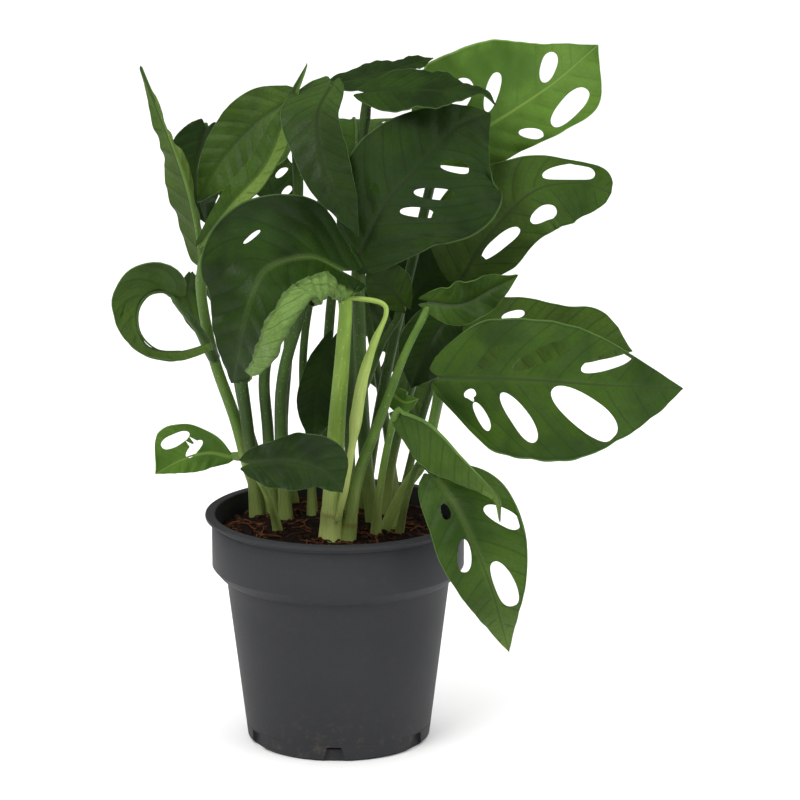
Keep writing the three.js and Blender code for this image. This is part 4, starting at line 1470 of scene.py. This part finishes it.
        holes=((23, -10, 12, 6, 5), (17, -3, 10, 4, 37)),
        stem=Stem(
            radius=1.6,
            on="tall_left",
            path=((-42, 28, 27), (-46, 30, 26)),
        ),
    ),
    Leaf(
        name="low_centre",
        tone=LeafTone.DARK,
        spine=((-38, -42, 41), (-22, -50, 44), (-7, -54, 41), (3, -54, 31)),
        across=((0.2, 0, 1),),
        left=(8, 9, 14, 14, 0),
        right=(8, 12, 12, 8, 0),
        wave=2.2,
        pale_rib=0.2,
        stem=Stem(
            radius=1.7,
            path=((-27, -8, 4), (-31, -22, 21), (-35, -36, 34)),
        ),
    ),
    Leaf(
        name="inner_mid",
        tone=LeafTone.MID,
        spine=((29, 0, 104), (21, -4, 116), (16, -6, 127)),
        across=((-0.7, 0, -0.7),),
        left=(6, 10, 8, 0),
        right=(6, 10, 8, 0),
        stem=Stem(
            radius=1.6,
            on="centre",
            path=((11, -5, 65), (20, 2, 85), (27, 2, 97)),
            tone=StemTone.SHADED,
        ),
    ),
    Leaf(
        name="inner_right",
        tone=LeafTone.DARK,
        spine=((50, -2, 101), (41, -6, 86), (33, -8, 67)),
        across=((0.9, 0, -0.3),),
        left=(8, 14, 12, 0),
        right=(8, 14, 12, 0),
        fold=((15,), (15,)),
        stem=Stem(
            radius=1.5,
            on="right_upper",
            path=((45, 18, 92), (49, 10, 99)),
            tone=StemTone.SHADED,
        ),
    ),
    Leaf(
        name="inner_left",
        tone=LeafTone.DARK,
        spine=((-3, 22, 82), (-9, 13, 63), (-12, 10, 36)),
        across=((0.8, 0, -0.5),),
        left=(8, 9, 10, 0),
        right=(5, 8, 8, 0),
        stem=Stem(
            radius=1.4,
            on="top_dark",
            path=((6, 19, 64), (3, 24, 76)),
            tone=StemTone.SHADED,
        ),
    ),
    Leaf(
        name="inner_upper",
        tone=LeafTone.DARK,
        spine=((29, 40, 90), (39, 43, 105), (53, 43, 116), (68, 38, 115)),
        across=((-0.5, 0, 0.8),),
        left=(10, 18, 16, 10, 0),
        right=(10, 18, 16, 10, 0),
        stem=Stem(
            radius=1.6,
            on="top_right",
            path=((27, 32, 82), (28, 37, 87)),
            tone=StemTone.SHADED,
        ),
    ),
    Leaf(
        name="small_bright",
        tone=LeafTone.LIGHTEST,
        spine=((24, -12, 66), (30, -18, 63), (36, -20, 65)),
        across=((0.4, 0, 0.9),),
        left=(3, 5, 4, 0),
        right=(3, 6, 4, 0),
        lobe=1.5,
        stem=Stem(
            radius=1.2,
            on="cupped",
            path=((20, -26, 59), (22, -16, 63)),
        ),
    ),
    Leaf(
        name="small_left",
        tone=LeafTone.MID,
        spine=((-67, 34, 110), (-68, 36, 97), (-62, 32, 80)),
        across=((1, 0, 0.2),),
        left=(3, 7, 6, 0),
        right=(3, 5, 4, 0),
        lobe=1.5,
        stem=Stem(
            radius=1.3,
            on="back_left",
            path=((-49, 53, 73), (-58, 46, 96), (-64, 38, 106)),
            tone=StemTone.SHADED,
        ),
    ),
    Leaf(
        name="rear_high",
        tone=LeafTone.MID,
        spine=((8, 42, 147), (8, 66, 169), (6, 92, 171), (2, 118, 153)),
        across=((1, 0, 0),),
        left=(18, 30, 30, 18, 0),
        right=(18, 30, 30, 18, 0),
        hole_row=3,
        stem=Stem(
            radius=2.6,
            path=((-4, 34, 0), (-6, 38, 51), (-2, 38, 107), (6, 35, 125)),
            tone=StemTone.SHADED,
        ),
    ),
    Leaf(
        name="rear_right",
        tone=LeafTone.MID,
        spine=((12, 44, 98), (21, 52, 81), (30, 58, 61), (37, 62, 33)),
        across=((0.9, 0.35, -0.1),),
        left=(12, 20, 20, 12, 0),
        right=(12, 20, 20, 12, 0),
        hole_row=3,
        stem=Stem(
            radius=2.2,
            path=((26, 40, -1), (22, 43, 35), (16, 42, 73)),
            tone=StemTone.SHADED,
        ),
    ),
    Leaf(
        name="rear_left",
        tone=LeafTone.DARK,
        spine=((-24, 62, 127), (-31, 76, 141), (-38, 92, 156), (-43, 106, 171)),
        across=((-0.9, -0.3, 0),),
        left=(14, 24, 24, 14, 0),
        right=(8, 13, 15, 10, 0),
        hole_row=3,
        stem=Stem(
            radius=2.6,
            path=((-22, 42, -1), (-26, 46, 34), (-23, 49, 81)),
            tone=StemTone.SHADED,
        ),
    ),
)


@dataclass
class NewLeaf:
    """The youngest leaf, still rolled up in its pale sheath."""

    path: tuple[Point, ...]
    radius: tuple[float, ...] = (1.9, 1.8, 1.6, 1.7, 2.9, 2.7, 2.3, 1.7, 1.0, 1.1, 1.0)
    flatness: float = 0.28

    SIDES = 20
    STEPS = 90

    def build(self) -> None:
        """Builds the rolled leaf with the spiral edge of its outer turn."""
        curve = SmoothCurve(np.array([above_soil(point) for point in self.path]))
        shares = np.linspace(0, 1, self.STEPS + 1)
        radius = along(self.radius, shares)
        turn = 2 * np.pi * np.arange(self.SIDES) / self.SIDES
        seam = (turn[None, :] - 1.2 - 2.4 * shares[:, None]) % (2 * np.pi)
        lap = 1 + 0.2 * (1 - seam / (2 * np.pi))
        oval = 1 + self.flatness * np.cos(2 * (turn - 0.4))
        roll = sweep(curve, radius * lap * oval, (0, -1, 0.2), self.SIDES, self.STEPS)
        write_value(roll, "age", 0.55 - 0.35 * ease(points_of(roll)[:, 2] / MM - SOIL_LEVEL, 50, 110))
        smooth(roll, 60)
        # Painted light: the rolled leaf wears the lit copy of the stem green, over its own paleness lower
        # down.
        dress(roll, Wardrobe.stem(StemTone.BRIGHT))
        hang(roll, "new_leaf_rolled", "new_leaf_sheath")


NEW_LEAF = NewLeaf(
    path=(
        (0, -27, 12),
        (4, -31, 28),
        (7, -33, 47),
        (9, -34, 61),
        (12, -37, 79),
        (17, -37, 95),
        (22, -35, 107),
        (19, -34, 112),
        (4, -33, 114),
    ),
)


# ------------------------------------------------------------------ pot


@dataclass
class NurseryPot:
    """A turned plastic pot with a lip, a band, a shoulder, a foot with notches and drain holes."""

    lip_thickness: float = 1.8
    lip_reach: float = 3.0
    band_height: float = 22.0
    step_in: float = 6.4
    step_height: float = 6.0
    foot_radius: float = 41.5
    foot_bevel: float = 1.5
    wall: float = 1.6
    floor: float = 2.4
    floor_raise: float = 3.0
    disc_radius: float = 16.0
    ring_width: float = 3.0
    notches: int = 6
    notch_width: float = 11.0
    notch_top_width: float = 6.5
    notch_height: float = 7.0
    notch_turn: float = -92.0
    drain_radius: float = 3.5
    drain_ring: float = 27.0
    mould_line: float = 7.6

    STEPS = 128

    @property
    def band_radius(self) -> float:
        """Outside radius of the band."""
        return RIM_RADIUS - self.lip_reach

    @property
    def body_radius(self) -> float:
        """Outside radius of the body below the shoulder."""
        return self.band_radius - self.step_in

    @property
    def band_top(self) -> float:
        """Height of the band's upper end."""
        return POT_HEIGHT - self.lip_thickness

    @property
    def band_bottom(self) -> float:
        """Height of the band's lower end."""
        return self.band_top - self.band_height

    @property
    def body_top(self) -> float:
        """Height of the body's upper end."""
        return self.band_bottom - self.step_height

    def body_at(self, height: float) -> float:
        """Outside radius of the body at a height."""
        share = (height - self.foot_bevel) / (self.body_top - self.foot_bevel)
        return self.foot_radius + share * (self.body_radius - self.foot_radius)

    def inside(self) -> list[tuple[float, float]]:
        """Corners of the inner face, from the rim down to the floor."""
        return [
            (self.band_radius - self.wall, POT_HEIGHT),
            (self.band_radius - self.wall, self.band_bottom),
            (self.body_radius - self.wall, self.body_top),
            (self.foot_radius - self.wall, self.floor_raise + self.floor),
        ]

    def profile(self) -> list[tuple[float, float]]:
        """Corners of the whole wall, from the middle of the base round to the middle of the floor."""
        ring = self.foot_radius - self.ring_width
        line = self.mould_line
        drop = 0.35
        shoulder = [
            (self.body_radius + self.step_in * share, self.body_top + self.step_height * rise)
            for share, rise in (
                (0.12, 0.04), (0.28, 0.14), (0.46, 0.3), (0.64, 0.52), (0.84, 0.78), (0.96, 0.93)
            )
        ]
        return [
            (0, 0),
            (self.disc_radius, 0),
            (self.disc_radius, self.floor_raise),
            (ring, self.floor_raise),
            (ring, 0),
            (self.foot_radius - self.foot_bevel, 0),
            (self.foot_radius, self.foot_bevel),
            (self.body_at(line - drop), line - drop),
            (self.body_at(line) - 0.22, line),
            (self.body_at(line + drop), line + drop),
            (self.body_at(self.body_top - 14), self.body_top - 14),
            (self.body_radius, self.body_top),
            *shoulder,
            (self.band_radius, self.band_bottom),
            (self.band_radius, self.band_top - 2.4),
            (self.band_radius - 0.18, self.band_top - 2.0),
            (self.band_radius, self.band_top - 1.6),
            (self.band_radius, self.band_top),
            (RIM_RADIUS - 0.5, self.band_top),
            (RIM_RADIUS - 0.1, self.band_top + 0.3),
            (RIM_RADIUS, self.band_top + 0.9),
            (RIM_RADIUS - 0.15, POT_HEIGHT - 0.3),
            (RIM_RADIUS - 0.6, POT_HEIGHT),
            (self.band_radius - self.wall + 0.5, POT_HEIGHT),
            (self.band_radius - self.wall + 0.1, POT_HEIGHT - 0.4),
            *self.inside()[1:],
            (0, self.floor_raise + self.floor),
        ]

    def shell(self) -> bpy.types.Object:
        """The profile extruded corner by corner and spun round the pot's axis."""
        deselect()
        bpy.ops.mesh.primitive_plane_add(size=MM)
        shell = bpy.context.object
        corners = [Vector((radius * MM, 0, height * MM)) for radius, height in self.profile()]
        make_active(shell)
        bpy.ops.object.mode_set(mode="EDIT")
        bpy.ops.mesh.select_mode(type="VERT")
        bpy.ops.mesh.select_all(action="SELECT")
        bpy.ops.mesh.merge(type="CENTER")
        bpy.ops.transform.translate(value=corners[0])
        for start, end in zip(corners, corners[1:]):
            bpy.ops.mesh.extrude_region_move(TRANSFORM_OT_translate={"value": end - start})
        bpy.ops.mesh.select_all(action="SELECT")
        bpy.ops.mesh.spin(steps=self.STEPS, angle=2 * math.pi, center=(0, 0, 0), axis=(0, 0, 1))
        bpy.ops.mesh.select_all(action="SELECT")
        bpy.ops.mesh.remove_doubles(threshold=1e-6)
        bpy.ops.mesh.normals_make_consistent(inside=False)
        bpy.ops.object.mode_set(mode="OBJECT")
        apply_modifier(
            shell,
            "BEVEL",
            width=0.3 * MM,
            segments=2,
            limit_method="ANGLE",
            angle_limit=math.radians(50),
        )
        return shell

    def notch_cutter(self, turn: float) -> bpy.types.Object:
        """A tapered block where one notch goes through the foot."""
        deselect()
        depth = self.foot_radius / 2
        middle = self.foot_radius - self.wall / 2 - 0.3 + depth / 2 - self.wall / 2
        bpy.ops.mesh.primitive_cube_add(size=1)
        block = bpy.context.object
        points = points_of(block)
        top = points[:, 2] > 0
        points[:, 0] = points[:, 0] * depth + middle
        points[:, 1] *= np.where(top, self.notch_top_width, self.notch_width)
        points[:, 2] = np.where(top, self.notch_height, -1)
        set_points(block, points * MM)
        apply_modifier(block, "BEVEL", width=0.5 * MM, segments=2, limit_method="ANGLE")
        self.turn_round(block, turn)
        return block

    def drain_cutter(self, turn: float) -> bpy.types.Object:
        """A pin where one drain hole goes through the floor."""
        deselect()
        bpy.ops.mesh.primitive_cylinder_add(
            vertices=24,
            radius=self.drain_radius * MM,
            depth=4 * self.floor * MM,
            location=(self.drain_ring * MM, 0, (self.floor_raise + self.floor / 2) * MM),
        )
        pin = bpy.context.object
        make_active(pin)
        bpy.ops.object.transform_apply(location=True, rotation=True, scale=True)
        self.turn_round(pin, turn)
        return pin

    def turn_round(self, piece: bpy.types.Object, degrees: float) -> None:
        """Turns a piece's mesh round the pot's axis."""
        angle = math.radians(degrees)
        points = points_of(piece)
        x, y = points[:, 0].copy(), points[:, 1].copy()
        points[:, 0] = x * math.cos(angle) - y * math.sin(angle)
        points[:, 1] = x * math.sin(angle) + y * math.cos(angle)
        set_points(piece, points)

    def build(self) -> None:
        """Builds the pot with its notches and drain holes cut."""
        shell = self.shell()
        turns = [self.notch_turn + 360 * i / self.notches for i in range(self.notches)]
        cutters = [self.notch_cutter(turn) for turn in turns] + [self.drain_cutter(turn) for turn in turns]
        cutter = join(cutters)
        apply_modifier(shell, "BOOLEAN", operation="DIFFERENCE", solver="EXACT", object=cutter)
        bpy.data.objects.remove(cutter)
        edit(shell, ("remove_doubles", {"threshold": 2e-6}))
        smooth(shell, 32)
        dress(shell, PotFinish().material())
        hang(shell, "nursery_pot", "pot")


# ------------------------------------------------------------------ soil


@dataclass
class Soil:
    """The root ball in the pot, with loose peat, bark crumbs and root fibres on top."""

    pot: NurseryPot
    gap: float = 0.3
    crown: float = 1.5
    crumbs: int = 330
    fibres: int = 120
    seed: int = 7

    ROUND = 160
    TOP_RINGS = 90
    LUMPS = ((1.5, 0.07), (1.1, 0.19), (0.75, 0.45), (0.4, 1.1))

    def surface(self, x: float, y: float) -> float:
        """Height of the soil above the pot's base at a place, in mm."""
        away = math.hypot(x, y) / (self.pot.band_radius - self.pot.wall)
        spot = Vector((x, y, 0))
        lumps = sum(rise * noise.noise(spot * rate) for rise, rate in self.LUMPS)
        return SOIL_LEVEL + self.crown * (1 - away**2) + 0.75 * lumps - 1.6 * float(ease(away, 0.86, 1.0))

    def build(self) -> None:
        """Builds the soil with everything that lies on it."""
        body = self.body()
        crumbs = self.crumb_pieces()
        fibres = self.fibre_pieces()
        for piece, material in (
            (body, PEAT.material()),
            (crumbs, BARK.material()),
            (fibres, ROOT.material()),
        ):
            smooth(piece)
            dress(piece, material)
        soil = join([body, crumbs, fibres])
        hang(soil, "potting_soil", "soil")

    def body(self) -> bpy.types.Object:
        """The root ball: the pot's inside, less a gap, under an uneven top."""
        pot = self.pot
        edge = pot.band_radius - pot.wall - self.gap
        sides = [
            (pot.foot_radius - pot.wall - self.gap, pot.floor_raise + pot.floor + self.gap),
            (pot.body_radius - pot.wall - self.gap, pot.body_top + self.gap),
            (edge, pot.band_bottom + self.gap),
        ]
        rings = [(0.0, sides[0][1]), *sides]
        rings += [(edge * (1 - i / self.TOP_RINGS), None) for i in range(self.TOP_RINGS + 1)]
        ball = new_grid(len(rings) - 1, self.ROUND)
        flat = points_of(ball)
        row = np.rint(flat[:, 0] * (len(rings) - 1)).astype(int)
        angle = np.pi * (flat[:, 1] + 1)
        for i, (ring, turn) in enumerate(zip(row, angle)):
            radius, height = rings[ring]
            x, y = radius * math.cos(turn), radius * math.sin(turn)
            flat[i] = (x, y, self.surface(x, y) if height is None else height)
        set_points(ball, flat * MM)
        edit(
            ball,
            ("remove_doubles", {"threshold": 1e-6}),
            ("normals_make_consistent", {"inside": False}),
        )
        return ball

    def spot(self, draw: random.Random) -> tuple[float, float]:
        """A place on the soil, evenly spread."""
        radius = (self.pot.band_radius - 6) * math.sqrt(draw.random())
        angle = draw.uniform(0, 2 * math.pi)
        return radius * math.cos(angle), radius * math.sin(angle)

    def crumb_pieces(self) -> bpy.types.Object:
        """Bark and peat crumbs: rough stones of a few dozen faces."""
        draw = random.Random(self.seed)
        pieces = []
        for _ in range(self.crumbs):
            deselect()
            bpy.ops.mesh.primitive_ico_sphere_add(subdivisions=1, radius=1)
            crumb = bpy.context.object
            size = draw.uniform(0.5, 1.7) * (1.5 if draw.random() < 0.12 else 1)
            stretch = size * np.array(
                [draw.uniform(0.8, 1.9), draw.uniform(0.6, 1.1), draw.uniform(0.4, 0.8)]
            )
            points = points_of(crumb) * stretch
            points *= np.array([[draw.uniform(0.75, 1.25)] for _ in range(len(points))])
            turn = draw.uniform(0, 2 * math.pi)
            x, y = self.spot(draw)
            tilt = draw.uniform(-0.5, 0.5)
            turned_x = points[:, 0] * math.cos(turn) - points[:, 1] * math.sin(turn)
            turned_y = points[:, 0] * math.sin(turn) + points[:, 1] * math.cos(turn)
            lifted = points[:, 2] + tilt * turned_x
            height = self.surface(x, y) + 0.25 * size
            set_points(crumb, np.stack([turned_x + x, turned_y + y, lifted + height], axis=1) * MM)
            pieces.append(crumb)
        return join(pieces)

    def fibre_pieces(self) -> bpy.types.Object:
        """Root fibres: thin, bent strands lying over the peat."""
        draw = random.Random(self.seed + 1)
        pieces = []
        for _ in range(self.fibres):
            x, y = self.spot(draw)
            heading = draw.uniform(0, 2 * math.pi)
            length = draw.uniform(5, 17)
            route = []
            for i in range(6):
                height = self.surface(x, y) + 0.35 + draw.uniform(0, 1.1) * math.sin(math.pi * i / 5)
                route.append((x, y, height))
                heading += draw.uniform(-0.55, 0.55)
                x += math.cos(heading) * length / 5
                y += math.sin(heading) * length / 5
            curve = SmoothCurve(np.array(route))
            ring = np.full((13, 5), draw.uniform(0.16, 0.42))
            ring[0] *= 0.4
            ring[-1] *= 0.3
            limit = self.pot.band_radius - self.pot.wall - 1
            if max(math.hypot(px, py) for px, py, _ in route) < limit:
                pieces.append(sweep(curve, ring, (0, 0, 1), 5, 12))
        return join(pieces)


# ------------------------------------------------------------------ studio


@dataclass(frozen=True)
class Softbox:
    """A square soft light."""

    name: str
    place: Point
    aim: Point
    size: float
    power: float
    shines: bool = True

    def build(self) -> None:
        """Adds the light and turns it to its aim."""
        deselect()
        bpy.ops.object.light_add(type="AREA", location=self.place)
        light = bpy.context.object
        light.name = self.name
        light.data.size = self.size
        light.data.energy = self.power
        light.visible_glossy = self.shines
        light.rotation_euler = (Vector(self.aim) - Vector(self.place)).to_track_quat("-Z", "Y").to_euler()


@dataclass
class Studio:
    """A pale floor, soft light from all round and a camera in front of the plant."""

    camera_place: Point = (0.028, -1.700, 0.568)
    camera_pitch: float = 76.4
    lens: float = 175.5
    floor_size: float = 8.0
    surround: float = 0.17
    aim: Point = (0.0, 0.0, 0.16)

    def build(self) -> None:
        """Builds the whole studio."""
        self.floor()
        self.sky()
        self.camera()
        Softbox("key_front_left", (-0.9, -1.3, 1.5), self.aim, 1.0, 20.0).build()
        Softbox("fill_right", (1.4, -0.7, 0.9), self.aim, 1.2, 7.0).build()
        Softbox("ceiling", (0.0, 0.5, 2.6), (0.0, 0.5, 0.0), 6.8, 245.0, shines=False).build()

    def camera(self) -> None:
        """The camera, looking slightly down on the plant."""
        deselect()
        pitch = math.radians(self.camera_pitch)
        bpy.ops.object.camera_add(location=self.camera_place, rotation=(pitch, 0, 0))
        camera = bpy.context.object
        camera.name = "plant_camera"
        camera.data.lens = self.lens
        camera.data.clip_start = 0.05
        bpy.context.scene.camera = camera

    def floor(self) -> None:
        """The pale floor, with a faint unevenness in its tone."""
        deselect()
        bpy.ops.mesh.primitive_plane_add(size=self.floor_size)
        floor = bpy.context.object
        floor.name = "studio_floor"
        material, graph, shader = start_material("pale_floor")
        grain = graph.noise(graph.place(), 3.0, 3)
        colour = graph.mix(graph.math("MULTIPLY", grain, 0.3), srgb(246, 246, 245), srgb(242, 242, 242))
        graph.put(shader.inputs["Base Color"], colour)
        graph.put(shader.inputs["Roughness"], graph.fade(grain, 0.0, 1.0, 0.88, 0.96))
        shader.inputs["Specular IOR Level"].default_value = 0.1
        dress(floor, material)

    def sky(self) -> None:
        """Even white surroundings, and a plain rendering of their brightness."""
        world = bpy.data.worlds.new("white_surround")
        bpy.context.scene.world = world
        world.use_nodes = True
        background = world.node_tree.nodes["Background"]
        background.inputs["Color"].default_value = (1, 1, 1, 1)
        graph = Graph(world.node_tree)
        seen = graph.add("ShaderNodeLightPath", {}).outputs["Is Camera Ray"]
        graph.put(background.inputs["Strength"], graph.fade(seen, 0.0, 1.0, self.surround, 1.0))
        bpy.context.scene.view_settings.view_transform = "Standard"


# ------------------------------------------------------------------ the plant


def main() -> None:
    """Builds the studio, the pot, the soil and the plant."""
    logging.basicConfig(level=logging.INFO, format="%(name)s: %(message)s")
    Shared.make()
    Studio().build()
    pot = NurseryPot()
    pot.build()
    Soil(pot).build()
    for leaf in LEAVES:
        leaf.build()
    NEW_LEAF.build()


if __name__ == "__main__":
    main()
